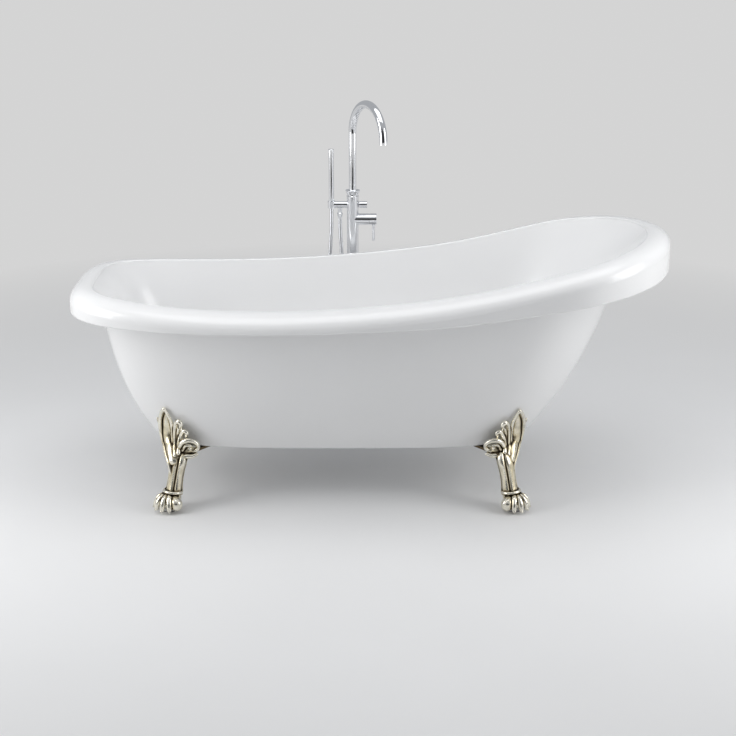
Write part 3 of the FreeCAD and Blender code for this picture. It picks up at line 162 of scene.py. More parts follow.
# %% Ridged tube
HOSE_SIDES = 20
RIDGE_DEPTH = 0.0007


def ring_faces(rows, columns):
    """Quads between rings that each close on themselves."""
    faces = []
    for row in range(rows - 1):
        for column in range(columns):
            after = (column + 1) % columns
            faces.append((row * columns + column, row * columns + after,
                          (row + 1) * columns + after, (row + 1) * columns + column))
    return faces


def tube_mesh(name, rings):
    """A closed tube through rings of points, faces outward, smooth."""
    rings = np.asarray(rings)
    mesh = bpy.data.meshes.new(name)
    mesh.from_pydata(rings.reshape(-1, 3).tolist(), [], ring_faces(*rings.shape[:2]))
    return tidy_mesh(mesh)


def tidy_mesh(mesh):
    """Closes open edges, turns faces outward and shades smoothly."""
    work = bmesh.new()
    work.from_mesh(mesh)
    bmesh.ops.holes_fill(work, edges=[edge for edge in work.edges if edge.is_boundary], sides=0)
    bmesh.ops.recalc_face_normals(work, faces=work.faces)
    for face in work.faces:
        face.smooth = True
    work.to_mesh(mesh)
    work.free()
    return mesh


tangent = np.gradient(hose_line, axis=0)
tangent /= np.linalg.norm(tangent, axis=1)[:, None]
ACROSS = np.array([0.0, 1.0, 0.0])
hose_rings = []
for number, (centre, along) in enumerate(zip(hose_line, tangent)):
    radius = HOSE_DIAMETER / 2 - (RIDGE_DEPTH if number % POINTS_PER_RIDGE == 0 else 0)
    third = np.cross(along, ACROSS)
    hose_rings.append([centre + radius * (math.cos(turn) * ACROSS + math.sin(turn) * third)
                       for turn in np.linspace(0, 2 * math.pi, HOSE_SIDES, endpoint=False)])
hose = link("shower_hose_ridged", tube_mesh("shower_hose_ridged", hose_rings))
print("hose faces", len(hose.data.polygons))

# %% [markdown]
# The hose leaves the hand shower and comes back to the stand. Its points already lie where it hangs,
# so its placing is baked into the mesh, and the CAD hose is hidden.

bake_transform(hose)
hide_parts("shower_hose")

# %% [markdown]
# ## Finishes
#
# Three finishes make nearly all that is seen: acrylic, white right through under a hard gloss; polished
# chrome; and antique brass, bright where it is rubbed and dark in its hollows. Duller stuffs dress the
# small and hidden pieces. Each finish is a small node tree with detail at its real scale, so no picture
# is needed.

# %% Node helpers
def grey(value):
    return (value, value, value)


def new_material(name, colour, metallic, roughness):
    """A material, its shader and its tree."""
    material = bpy.data.materials.new(name)
    material.use_nodes = True
    shader = material.node_tree.nodes["Principled BSDF"]
    shader.inputs["Base Color"].default_value = (*colour, 1)
    shader.inputs["Metallic"].default_value = metallic
    shader.inputs["Roughness"].default_value = roughness
    return material, shader, material.node_tree


def noise_field(tree, scale, detail=3):
    """Noise in the object's own metres."""
    place = tree.nodes.new("ShaderNodeTexCoord")
    field = tree.nodes.new("ShaderNodeTexNoise")
    field.inputs["Scale"].default_value = scale
    field.inputs["Detail"].default_value = detail
    tree.links.new(place.outputs["Object"], field.inputs["Vector"])
    return field.outputs["Fac"]


def ramp(tree, source, stops):
    """Colours along a value from 0 to 1."""
    node = tree.nodes.new("ShaderNodeValToRGB")
    elements = node.color_ramp.elements
    while len(elements) < len(stops):
        elements.new(0.5)
    for element, (position, colour) in zip(elements, stops):
        element.position = position
        element.color = (*colour, 1)
    tree.links.new(source, node.inputs["Fac"])
    return node.outputs["Color"]


def bump(tree, shader, source, strength, distance):
    node = tree.nodes.new("ShaderNodeBump")
    node.inputs["Strength"].default_value = strength
    node.inputs["Distance"].default_value = distance
    tree.links.new(source, node.inputs["Height"])
    tree.links.new(node.outputs["Normal"], shader.inputs["Normal"])


print("node helpers ready")

# %% [markdown]
# ### Acrylic
#
# The skins are sheet, heated and drawn over a mould. The sheet is almost even, but pulling it thins it a
# little here and there, and its gloss carries a very long, very shallow ripple. A coat over a softer base
# gives the white its depth.

# %% Acrylic
COAT_WEIGHT = 0.5
COAT_ROUGHNESS = 0.1
THINNED_SHADE = 0.975
# Noise scales count patches in a metre.
THINNING_SCALE = 3
RIPPLE_SCALE = 22
# Where on a noise a drift from one value to another starts and ends.
DRIFT_START, DRIFT_END = 0.3, 0.7


def acrylic(name, colour, roughness):
    """White sheet under a gloss coat."""
    material, shader, tree = new_material(name, colour, metallic=0, roughness=roughness)
    shader.inputs["Coat Weight"].default_value = COAT_WEIGHT
    shader.inputs["Coat Roughness"].default_value = COAT_ROUGHNESS
    thinned = tuple(channel * THINNED_SHADE for channel in colour)
    tint = ramp(tree, noise_field(tree, THINNING_SCALE), [(DRIFT_START, colour), (DRIFT_END, thinned)])
    tree.links.new(tint, shader.inputs["Base Color"])
    bump(tree, shader, noise_field(tree, RIPPLE_SCALE), strength=0.05, distance=0.0004)
    return material


BASIN_WHITE = acrylic("basin_acrylic", grey(0.88), roughness=0.24)
# Painted shade: the hull is the same white acrylic as the basin, but it gets a greyer white that stands in for
# the shade on its sides.
HULL_WHITE_PAINTED_SHADE = acrylic("hull_acrylic", grey(0.84), roughness=0.3)
print("acrylic ready")

# %% [markdown]
# ### Metals
#
# Chrome is nearly a mirror, but handling and hard water leave its gloss uneven, so its roughness drifts.
# Zinc-plated steel and machined brass use the same recipe with more roughness and a coarser grain.

# %% Metals
GLOSS_SCALE = 38
METAL_GRAIN_STRENGTH = 0.1


def metal(name, colour, low, high, grain, depth):
    """Metal whose roughness drifts between two values, with a fine grain."""
    material, shader, tree = new_material(name, colour, metallic=1, roughness=low)
    polish = ramp(tree, noise_field(tree, GLOSS_SCALE), [(DRIFT_START, grey(low)), (DRIFT_END, grey(high))])
    tree.links.new(polish, shader.inputs["Roughness"])
    bump(tree, shader, noise_field(tree, grain), METAL_GRAIN_STRENGTH, depth)
    return material


CHROME = metal("polished_chrome", (0.84, 0.85, 0.87), low=0.05, high=0.1, grain=900, depth=0.00002)
HOSE_CHROME = metal("wound_chrome", (0.74, 0.75, 0.77), low=0.14, high=0.22, grain=900, depth=0.00004)
STEEL = metal("zinc_plated_steel", grey(0.6), low=0.28, high=0.42, grain=700, depth=0.0001)
MACHINED_BRASS = metal("machined_brass", (0.72, 0.56, 0.28), low=0.22, high=0.34, grain=700, depth=0.0001)
print("metals ready")

# %% [markdown]
# ### Rubber, ceramic, plastic and board
#
# Seals, the cartridge, the aerator and the board between the skins are dull: they scatter light, and
# their colour is mottled at the size of their grain. One recipe with different grains makes all four.

# %% Rubber, ceramic, plastic and board
MOTTLE_PER_GRAIN = 3
MOTTLE_DETAIL = 5
MOTTLE_START, MOTTLE_END = 0.35, 0.65


def matt(name, dark, light, roughness, grain, strength, depth):
    """A dull stuff whose colour varies between two, with a grain."""
    material, shader, tree = new_material(name, light, metallic=0, roughness=roughness)
    tint = ramp(tree, noise_field(tree, grain / MOTTLE_PER_GRAIN, MOTTLE_DETAIL),
                [(MOTTLE_START, dark), (MOTTLE_END, light)])
    tree.links.new(tint, shader.inputs["Base Color"])
    bump(tree, shader, noise_field(tree, grain), strength, depth)
    return material


RUBBER = matt("black_rubber", grey(0.02), grey(0.04),
              roughness=0.7, grain=900, strength=0.3, depth=0.0002)
CERAMIC = matt("ground_ceramic", grey(0.72), grey(0.8),
               roughness=0.4, grain=1200, strength=0.1, depth=0.0001)
MESH_PLASTIC = matt("aerator_plastic", grey(0.05), grey(0.09),
                    roughness=0.5, grain=1500, strength=0.6, depth=0.0003)
BOARD = matt("raw_board", (0.36, 0.25, 0.14), (0.6, 0.46, 0.3),
             roughness=0.85, grain=400, strength=0.4, depth=0.0006)
print("dull stuffs ready")

# %% [markdown]
# ### Antique brass
#
# The feet are brass, darkened all over and then rubbed back. Rubbing only reaches the high spots, so the
# finish needs to know how far each point stands proud. The mesh says so: each point of the finished
# casting keeps its height over a smoothed copy, in an attribute named relief, and the colour follows it.

# %% Antique brass
PATINA_DARK = (0.03, 0.023, 0.015)
PATINA_BROWN = (0.2, 0.155, 0.095)
WORN_BRASS = (0.76, 0.67, 0.46)
RUBBED_BRIGHT = (0.98, 0.94, 0.82)
# Each stop is a relief, from 0 in hollows to 1 on ridges, with its colour or roughness.
COLOUR_STOPS = [(0.3, PATINA_DARK), (0.44, PATINA_BROWN), (0.56, WORN_BRASS), (0.78, RUBBED_BRIGHT)]
ROUGHNESS_STOPS = [(0.2, grey(0.6)), (0.65, grey(0.24))]
STAIN_STOPS = [(0.3, grey(0.74)), (0.65, grey(1))]
STAIN_SCALE, STAIN_DETAIL = 60, 5
SAND_SCALE, SAND_DETAIL = 350, 4

ANTIQUE, antique_shader, antique_tree = new_material("antique_brass", WORN_BRASS, metallic=1, roughness=0.3)
relief = antique_tree.nodes.new("ShaderNodeAttribute")
relief.attribute_name = "relief"
rubbed = ramp(antique_tree, relief.outputs["Fac"], COLOUR_STOPS)
stains = ramp(antique_tree, noise_field(antique_tree, STAIN_SCALE, STAIN_DETAIL), STAIN_STOPS)
patina = antique_tree.nodes.new("ShaderNodeMix")
patina.data_type = "RGBA"
patina.blend_type = "MULTIPLY"
patina.inputs["Factor"].default_value = 1
antique_tree.links.new(rubbed, patina.inputs["A"])
antique_tree.links.new(stains, patina.inputs["B"])
antique_tree.links.new(patina.outputs["Result"], antique_shader.inputs["Base Color"])
wear = ramp(antique_tree, relief.outputs["Fac"], ROUGHNESS_STOPS)
antique_tree.links.new(wear, antique_shader.inputs["Roughness"])
bump(antique_tree, antique_shader, noise_field(antique_tree, SAND_SCALE, SAND_DETAIL),
     strength=0.2, distance=0.0003)
print("antique brass ready")

# %% [markdown]
# ### Which piece has which finish
#
# The record names a slot for every node, so one table from slot to finish dresses them all.

# %% Dress the CAD nodes
SLOT_FINISH = {
    "basin_acrylic": BASIN_WHITE, "hull_acrylic": HULL_WHITE_PAINTED_SHADE, "board": BOARD, "insert_brass": MACHINED_BRASS,
    "fastener_steel": STEEL, "waste_chrome": CHROME, "seal_rubber": RUBBER, "waste_brass": MACHINED_BRASS,
    "tap_chrome": CHROME, "pipe_steel": STEEL, "cartridge_ceramic": CERAMIC,
    "aerator_plastic": MESH_PLASTIC, "hose_chrome": HOSE_CHROME, "foot_brass": ANTIQUE,
}


def finish_with(piece, material):
    piece.data.materials.clear()
    piece.data.materials.append(material)


for part in frame["record"]["subparts"]:
    finish_with(NODES[part["node"]], SLOT_FINISH[part["material_slot"]])
finish_with(hose, HOSE_CHROME)

# %% [markdown]
# ## The claw feet
#
# Each foot is one casting: an acanthus leaf that lies on the hull, a scroll at the knee, a fluted shank,
# a cuff, and a paw of four toes. A sculptor would push such forms out of clay. Here each form is a strand,
# a swept tube whose thickness changes along it, and a voxel remesh melts the strands into one skin. That
# gives soft cast edges and real hollows, which a bump map can't.
#
# First the hull's outside is needed, so that the leaf can lie on it.

# %% The hull's outside
TUB_MID_Y = (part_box("tub_basin")[0][1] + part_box("tub_basin")[1][1]) / 2
HULL_CORE_REACH = 0.35
HULL_CORE_HEIGHT = 0.35


def outside_of_hull():
    """A search tree of the hull's outward faces: those that look away from its core."""
    mesh = NODES["outer_shell"].data
    points = [vertex.co.copy() for vertex in mesh.vertices]
    faces = []
    for polygon in mesh.polygons:
        middle = polygon.center
        core_x = max(-HULL_CORE_REACH, min(HULL_CORE_REACH, middle.x))
        core = Vector((core_x, TUB_MID_Y, HULL_CORE_HEIGHT))
        if polygon.normal.dot(middle - core) > 0:
            faces.append(tuple(polygon.vertices))
    return BVHTree.FromPolygons(points, faces), len(faces)


HULL_TREE, hull_faces = outside_of_hull()
print("hull faces outward:", hull_faces)

# %% [markdown]
# A strand's stations are listed, and a smooth curve is passed between them. On the leaf, a station
# is outward of the paw, above the floor, and forward of the hull, all in millimetres, and a ray shot at
# the hull turns it into a place.

# %% Strands
STRAND_SIDES = 14
CAP_STEPS = 4
# A cap's rings stop short of its tip, where a ring would shrink to a point.
CAP_SHIFT = 0.35
# A direction that no strand starts along, to count a ring's angles from.
ODD_WAY = [0.31, 0.17, 0.93]


def smooth_between(stations, count):
    """A smooth cubic curve through the stations, all their values together."""
    stations = np.array([stations[0]] + list(stations) + [stations[-1]], float)
    out = []
    for before, start, end, after in zip(stations, stations[1:], stations[2:], stations[3:]):
        for t in np.linspace(0, 1, count, endpoint=False):
            out.append(0.5 * (2 * start + (end - before) * t
                              + (2 * before - 5 * start + 4 * end - after) * t ** 2
                              + (3 * start - before - 3 * end + after) * t ** 3))
    out.append(stations[-1])
    return np.array(out)


def strand(points, radii):
    """Rings round a line, closed to a round cap at each end."""
    points, radii = np.array(points), np.array(radii)
    heading = np.gradient(points, axis=0)
    heading /= np.linalg.norm(heading, axis=1)[:, None]
    side = np.cross(heading[0], ODD_WAY)
    rings = []

    def ring(centre, way, radius):
        nonlocal side
        side = side - way * side.dot(way)
        side /= np.linalg.norm(side)
        third = np.cross(way, side)
        rings.append([centre + radius * (math.cos(turn) * side + math.sin(turn) * third)
                      for turn in np.linspace(0, 2 * math.pi, STRAND_SIDES, endpoint=False)])

    def cap(end, outward, steps):
        for step in steps:
            lift = math.cos(math.pi / 2 * (step + CAP_SHIFT) / CAP_STEPS)
            ring(points[end] + outward * heading[end] * radii[end] * lift, heading[end],
                 radii[end] * math.sqrt(1 - lift ** 2))

    cap(0, -1, range(CAP_STEPS))
    for centre, way, radius in zip(points, heading, radii):
        ring(centre, way, radius)
    cap(-1, 1, reversed(range(CAP_STEPS)))
    return np.array(rings)


print("strand helper ready")

# %% [markdown]
# ### The leaf and the scroll
#
# The leaf has one tall lobe, two ribs with a hollow between them, and two shorter lobes whose tips curl
# off the hull. A scroll winds inward at the knee, where leg and bath meet, over a small tongue. The hull
# lies well behind the shank there, so broad strands bridge the way and make the leaf's body.

# %% Leaf strands: outward of the paw, height, forward of the hull, radius
LEAF_STRANDS = [
    # body, from the shank's top to the hull
    [(-16, 140, 64, 20), (-9, 165, 48, 20), (2, 195, 18, 18), (5, 225, 3, 15), (8, 255, -2, 12),
     (11, 278, -2, 8)],
    [(-22, 148, 56, 21), (-22, 175, 38, 20), (-25, 200, 16, 16), (-29, 222, 5, 10)],
    [(-26, 152, 48, 18), (-46, 163, 38, 16), (-66, 168, 30, 12)],
    # tall lobe: outer rib, inner rib, vein
    [(-6, 106, 86, 4), (-1, 134, 78, 7.5), (9, 158, 60, 9), (19, 186, 32, 9.5), (25, 217, 14, 8.5),
     (24, 250, 8, 7.5), (17, 276, 8, 6.5), (10, 289, 11, 6)],
    [(-12, 150, 76, 6), (-12, 186, 42, 6.5), (-11, 217, 20, 6), (-7, 251, 12, 5), (4, 279, 10, 4.5),
     (9, 289, 12, 4)],
    [(4, 158, 70, 4), (7, 190, 38, 4), (9, 220, 17, 3.4), (9, 248, 10, 2.8)],
    # small lobe on the outer edge
    [(26, 232, 6, 5), (32, 243, 6, 4.5), (34, 252, 8, 3)],
    # first curled lobe: two ribs into one tip
    [(-18, 158, 72, 6), (-18, 192, 40, 6), (-18, 220, 23, 6), (-22, 245, 18, 6.5), (-31, 256, 19, 7),
     (-38, 248, 22, 6), (-35, 238, 23, 4.5)],
    [(-25, 184, 46, 4), (-25, 214, 26, 4), (-29, 232, 20, 3.6)],
    # second curled lobe
    [(-28, 164, 66, 6), (-29, 190, 44, 6), (-35, 211, 28, 6), (-44, 226, 24, 6.5), (-53, 222, 26, 5.5),
     (-50, 211, 28, 4.5)],
    # scroll at the knee, the small tongue under it, and a web between them
    [(-24, 158, 66, 7), (-35, 188, 48, 7), (-52, 200, 40, 7), (-70, 197, 34, 6.5), (-82, 185, 32, 6),
     (-80, 170, 34, 5.5), (-66, 165, 38, 5), (-58, 175, 42, 4.5)],
    [(-30, 146, 64, 8), (-48, 153, 54, 7.5), (-64, 152, 46, 6.5), (-78, 156, 38, 5)],
    [(-38, 170, 54, 5), (-48, 184, 46, 5), (-62, 184, 42, 4)],
]
# A ray from below this height would pass under the hull.
LOWEST_RAY = 0.176
# The rays start well in front of the hull.
RAY_START_Y = -1


def on_hull(centre, side_x, outward, height, forward):
    """The place of a leaf station, for a foot at the front."""
    start = Vector((centre[0] + side_x * outward * MM, RAY_START_Y, max(LOWEST_RAY, height * MM)))
    hit = HULL_TREE.ray_cast(start, Vector((0, 1, 0)))[0]
    return np.array([start.x, hit.y - forward * MM, height * MM])


print(len(LEAF_STRANDS), "leaf strands")

# %% [markdown]
# ### The shank
#
# The shank leans in from the paw to the knee. A broad rib runs down its front, with a groove on each side
# of it and another behind each flank. Its rings are ellipses whose radius dips where a groove runs.

# %% Which way a foot points
FOOT_HEADING = 50


def heading_of(degrees, side_x):
    """A level direction, turned from straight sideways towards the front."""
    turn = math.radians(degrees)
    return np.array([side_x * math.cos(turn), -math.sin(turn), 0])


print("feet turned out by", FOOT_HEADING, "degrees from the long axis")

# %% Shank rings: outward, height, half depth, half width
SHANK = [(-13, 42, 29, 29), (-19, 58, 24, 26), (-26, 85, 21.5, 24), (-33, 112, 22, 25), (-40, 136, 23, 28),
         (-45, 153, 20, 25), (-47, 165, 11, 15)]
SHANK_SIDES = 96
SHANK_STEPS = 10
# Grooves: angle from the shank's front and width in degrees, depth in millimetres.
GROOVES = [(38, 10, 4), (112, 16, 2.5)]


def groove_depth(turn):
    """How far the shank's skin dips at an angle from its front, in millimetres."""
    degrees = abs((math.degrees(turn) + 180) % 360 - 180)
    return sum(depth * math.exp(-((degrees - place) / width) ** 2) for place, width, depth in GROOVES)


def shank_rings(centre, out, side):
    rings = []
    for outward, height, depth, width in smooth_between(SHANK, SHANK_STEPS):
        middle = centre + out * outward * MM + np.array([0, 0, height * MM])
        ring = []
        for turn in np.linspace(0, 2 * math.pi, SHANK_SIDES, endpoint=False):
            dip = groove_depth(turn)
            ring.append(middle + out * (depth - dip) * math.cos(turn) * MM
                        + side * (width - dip) * math.sin(turn) * MM)
        rings.append(ring)
    return np.array(rings)


print("shank grooves at", [place for place, width, depth in GROOVES], "degrees")

# %% [markdown]
# ### Cuff and paw
#
# A cuff rings the ankle like a turned-down stocking, over a dark groove. Under it the paw spreads: a
# round heel, a ball on the inner side, and four toes that drop from a knuckle to a short claw.

# %% Paw strands
# Toes and ball: directions round the paw, in degrees from straight sideways towards the front.
TOE_ANGLES = (3, 34, 65, 95)
BALL_ANGLE = 132
# Stations: reach from the paw's middle, height, radius.
TOE = [(10, 44, 9), (25, 43, 8.5), (35, 32, 7.8), (39, 20, 7.4), (40, 14, 6.2)]
CLAW = [(42, 15, 4.4), (46, 11, 3), (47, 8.8, 1.6)]
BALL = [(16, 34, 16), (30, 29, 18.5), (33, 25, 18)]
HEEL = [(-16, 38, 18), (-20, 28, 19), (-18, 21, 14)]
PAD = [(-4, 30, 20), (8, 26, 19), (14, 22, 14)]
PAW_STEPS = 8
# Cuff: its middle outward of the paw's, its radius, its height and how far its front rises.
CUFF_LEAN = -14
CUFF_REACH = 25
CUFF_HEIGHT = 53
CUFF_RISE = 4
CUFF_THICK = 4.6
CUFF_STATIONS = 33


def paw_strands(centre, side_x, out, side):
    """Strands of the paw, each as points and radii."""
    up = np.array([0.0, 0.0, 1.0])
    made = []

    def along(stations, way):
        points = smooth_between(stations, PAW_STEPS)
        made.append((centre + np.outer(points[:, 0] * MM, way) + np.outer(points[:, 1] * MM, up),
                     points[:, 2] * MM))

    for angle in TOE_ANGLES:
        way = heading_of(angle, side_x)
        along(TOE, way)
        along(CLAW, way)
    along(BALL, heading_of(BALL_ANGLE, side_x))
    along(HEEL, out)
    along(PAD, out)
    cuff = []
    for turn in np.linspace(0, 2 * math.pi, CUFF_STATIONS):
        reach = CUFF_REACH * MM
        cuff.append(centre + out * (CUFF_LEAN * MM + reach * math.cos(turn)) + side * (reach * math.sin(turn))
                    + up * (CUFF_HEIGHT + CUFF_RISE * math.cos(turn)) * MM)
    made.append((np.array(cuff), np.full(CUFF_STATIONS, CUFF_THICK * MM)))
    return made


print(len(TOE_ANGLES), "toes")

# %% [markdown]
# ### Melting the strands into a casting
#
# The remesh turns overlapping shells into one skin of even quads, and a little smoothing softens it as
# sand casting does. What lies inside the hull is then cut away, and the cut edge is laid on the hull.

# %% Casting
VOXEL = 0.0012
LEAF_STEPS = 7
SMOOTH_FACTOR = 0.5
CAST_SMOOTHING = 5
RELIEF_SMOOTHING = 160
RELIEF_SPAN = 0.0036
SEAT_GAP = 0.0006
SOLE_HEIGHT = 0.0062


def with_modifiers(mesh, *modifiers):
    """A new mesh: this one through modifiers, each a type and its settings."""
    holder = link("mould", mesh)
    for kind, settings in modifiers:
        modifier = holder.modifiers.new(kind.lower(), kind)
        for key, value in settings.items():
            setattr(modifier, key, value)
    bpy.context.view_layer.update()
    made = bpy.data.meshes.new_from_object(holder.evaluated_get(bpy.context.evaluated_depsgraph_get()))
    bpy.data.objects.remove(holder)
    return made


def inside_hull(place):
    """How far a place is inside the hull, below zero when outside, and where the hull's skin is."""
    hit, normal = HULL_TREE.find_nearest(place)[:2]
    return (hit - place).dot(normal), hit, normal


def cast_foot(centre, side_x):
    """One front foot's skin."""
    out = heading_of(FOOT_HEADING, side_x)
    side = np.array([-out[1], out[0], 0])
    shells = [shank_rings(centre, out, side)]
    for stations in LEAF_STRANDS:
        curve = smooth_between(stations, LEAF_STEPS)
        points = [on_hull(centre, side_x, *station[:3]) for station in curve]
        shells.append(strand(points, curve[:, 3] * MM))
    shells += [strand(points, radii) for points, radii in paw_strands(centre, side_x, out, side)]
    raw = bmesh.new()
    for rings in shells:
        part = tube_mesh("part", rings)
        raw.from_mesh(part)
        bpy.data.meshes.remove(part)
    mesh = bpy.data.meshes.new("raw")
    raw.to_mesh(mesh)
    raw.free()
    return with_modifiers(mesh, ("REMESH", {"mode": "VOXEL", "voxel_size": VOXEL}),
                          ("SMOOTH", {"factor": SMOOTH_FACTOR, "iterations": CAST_SMOOTHING}))


def fit_to_hull(mesh):
    """Cuts away what lies inside the hull, lays the cut on its skin and levels the sole."""
    work = bmesh.new()
    work.from_mesh(mesh)
    found = {vertex: inside_hull(vertex.co) for vertex in work.verts}
    hidden = [face for face in work.faces if all(found[vertex][0] > 0 for vertex in face.verts)]
    bmesh.ops.delete(work, geom=hidden, context="FACES")
    for vertex in work.verts:
        depth, hit, normal = found[vertex]
        if depth > -SEAT_GAP:
            vertex.co = hit + normal * SEAT_GAP
        vertex.co.z = max(vertex.co.z, SOLE_HEIGHT)
    work.to_mesh(mesh)
    work.free()
    return tidy_mesh(mesh)


def store_relief(mesh, values):
    """Gives each point its relief, which the antique brass reads."""
    mesh.attributes.new("relief", "FLOAT", "POINT").data.foreach_set("value", values.astype(np.float32))


def keep_relief(mesh):
    """Stores how proud each point stands of a smoothed copy, from 0 in hollows to 1 on ridges."""
    smoothed = with_modifiers(mesh.copy(),
                              ("SMOOTH", {"factor": SMOOTH_FACTOR, "iterations": RELIEF_SMOOTHING}))
    fine = np.array([vertex.co[:] for vertex in mesh.vertices])
    broad = np.array([vertex.co[:] for vertex in smoothed.vertices])
    normals = np.array([vertex.normal[:] for vertex in smoothed.vertices])
    proud = np.einsum("ij,ij->i", fine - broad, normals)
    store_relief(mesh, np.clip(0.5 + proud / RELIEF_SPAN, 0, 1))
    print("  relief from %.1f to %.1f mm" % (proud.min() / MM, proud.max() / MM))


print("casting helpers ready")

# %% [markdown]
# ### The tongue
#
# Behind the leaf a flat tongue runs under the bath, and two bolts hold it to the board. A filled 2D curve
# with two round holes, given a thickness, is the simplest plate with true holes.

# %% Bolting tongue
# The ends and the bolts are measured inward from the paw; "half" is half a width and "hole" a radius.
TONGUE = {"near": 48, "far": 215, "half": 23, "bolts": (160, 200), "hole": 5.5, "thick": 8, "edge": 0.8}
HOLE_SIDES = 32
TONGUE_RELIEF = 0.4
HULL_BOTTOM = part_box("outer_shell")[0][2]


def tongue_mesh(name, centre, out, side):
    """A plate with two bolt holes, under the hull's flat."""
    curve = bpy.data.curves.new(name, "CURVE")
    curve.dimensions = "2D"
    curve.fill_mode = "BOTH"
    curve.extrude = (TONGUE["thick"] / 2 - TONGUE["edge"]) * MM
    curve.bevel_depth = TONGUE["edge"] * MM
    near, far, half = TONGUE["near"], TONGUE["far"], TONGUE["half"] - TONGUE["edge"]
    loops = [[(-near, -half), (-far, -half), (-far, half), (-near, half)]]
    for bolt in TONGUE["bolts"]:
        radius = TONGUE["hole"] + TONGUE["edge"]
        loops.append([(-bolt + radius * math.cos(turn), radius * math.sin(turn))
                      for turn in np.linspace(0, 2 * math.pi, HOLE_SIDES, endpoint=False)])
    for loop in loops:
        spline = curve.splines.new("POLY")
        spline.points.add(len(loop) - 1)
        spline.use_cyclic_u = True
        for point, (along, across) in zip(spline.points, loop):
            place = centre + out * along * MM + side * across * MM
            point.co = (place[0], place[1], 0, 1)
    mesh = mesh_of(curve)
    for vertex in mesh.vertices:
        vertex.co.z += HULL_BOTTOM - TONGUE["thick"] / 2 * MM
    return mesh


print("hull bottom at %.1f mm" % (HULL_BOTTOM / MM))

# %% [markdown]
# ### Four feet from two castings
#
# The hull is the same on both sides but not at both ends, so the two front feet are cast and the back
# ones are their mirror images across the bath's middle.

# %% Make the feet
def mirrored(mesh, name):
    """The mesh on the other side of the bath."""
    copy = mesh.copy()
    copy.name = name
    for vertex in copy.vertices:
        vertex.co.y = 2 * TUB_MID_Y - vertex.co.y
    copy.flip_normals()
    return copy


def place_foot(end, place, mesh):
    """Sets a foot's piece where its CAD node is."""
    name = "foot_%s_%s" % (place, end)
    piece = link(name + "_cast", mesh)
    finish_with(piece, ANTIQUE)
    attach(piece, ROOT)
    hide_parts(name)


for end, side_x in (("left", -1), ("right", 1)):
    low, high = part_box("glide_pad_front_" + end)
    centre = np.array([(low[0] + high[0]) / 2, (low[1] + high[1]) / 2, 0])
    out = heading_of(FOOT_HEADING, side_x)
    skin = fit_to_hull(cast_foot(centre, side_x))
    keep_relief(skin)
    tongue = tongue_mesh("tongue", centre, out, np.array([-out[1], out[0], 0]))
    store_relief(tongue, np.full(len(tongue.vertices), TONGUE_RELIEF))
    whole = bmesh.new()
    whole.from_mesh(skin)
    whole.from_mesh(tongue)
    whole.to_mesh(skin)
    whole.free()
    skin.name = "foot_front_%s_cast" % end
    place_foot(end, "front", skin)
    place_foot(end, "back", mirrored(skin, "foot_back_%s_cast" % end))
    print("foot", end, "faces", len(skin.polygons))

# %% [markdown]
# ## Floor and light
#
# A pale floor sweeps up into a backdrop all round, so there is no horizon from any side. Both are turned
# round the upright axis from a few points of radius and height, the shortest way to a round room.

# %% Floor and backdrop
# A turned sheet doesn't close on its axis, so the floor keeps a hole of a millimetre there.
FLOOR_HOLE = 0.001
FLOOR_RADIUS = 7
SWEEP_RADIUS = 2.4
BACKDROP_TOP = 8
SWEEP_STEPS = 12
ROUND_STEPS = 96


def turned_sheet(name, profile):
    """An open sheet turned round the upright axis from points of radius and height."""
    points = [(radius * math.cos(turn), radius * math.sin(turn), height) for radius, height in profile
              for turn in np.linspace(0, 2 * math.pi, ROUND_STEPS, endpoint=False)]
    mesh = bpy.data.meshes.new(name)
    mesh.from_pydata(points, [], ring_faces(len(profile), ROUND_STEPS))
    for polygon in mesh.polygons:
        polygon.use_smooth = True
    return link(name, mesh)


sweep = [(FLOOR_RADIUS + SWEEP_RADIUS * math.sin(turn), SWEEP_RADIUS * (1 - math.cos(turn)))
         for turn in np.linspace(0, math.pi / 2, SWEEP_STEPS)]
floor = turned_sheet("floor", [(FLOOR_HOLE, 0), (FLOOR_RADIUS, 0)])
backdrop = turned_sheet("backdrop", sweep + [(FLOOR_RADIUS + SWEEP_RADIUS, BACKDROP_TOP)])
print("floor radius", FLOOR_RADIUS)

# %% [markdown]
# Far from the object the floor shows one even pale grey to the camera and to reflections. Near it the
# floor is plain matt, so that it takes the object's shadow.

# %% Floor finish
FLOOR_GREY = 0.78
FLOOR_DRIFT = 0.01
FLOOR_SCALE = 1.5
BACKDROP_GREY = 0.66
# The floor turns from matt to even grey between these distances from the middle.
SHADOW_REACH = (1.2, 3)

FLOOR_FINISH, floor_shader, floor_tree = new_material("floor", grey(FLOOR_GREY), metallic=0, roughness=0.6)
floor_tone = ramp(floor_tree, noise_field(floor_tree, FLOOR_SCALE),
                  [(DRIFT_START, grey(FLOOR_GREY - FLOOR_DRIFT)), (DRIFT_END, grey(FLOOR_GREY + FLOOR_DRIFT))])
floor_tree.links.new(floor_tone, floor_shader.inputs["Base Color"])


def floor_node(kind, **inputs):
    """A node of the floor's tree, with values for its inputs."""
    node = floor_tree.nodes.new(kind)
    for name, value in inputs.items():
        node.inputs[name].default_value = value
    return node


def floor_math(operation, first, second):
    """One value from two, in the floor's tree."""
    node = floor_node("ShaderNodeMath")
    node.operation = operation
    floor_tree.links.new(first, node.inputs[0])
    floor_tree.links.new(second, node.inputs[1])
    return node.outputs[0]


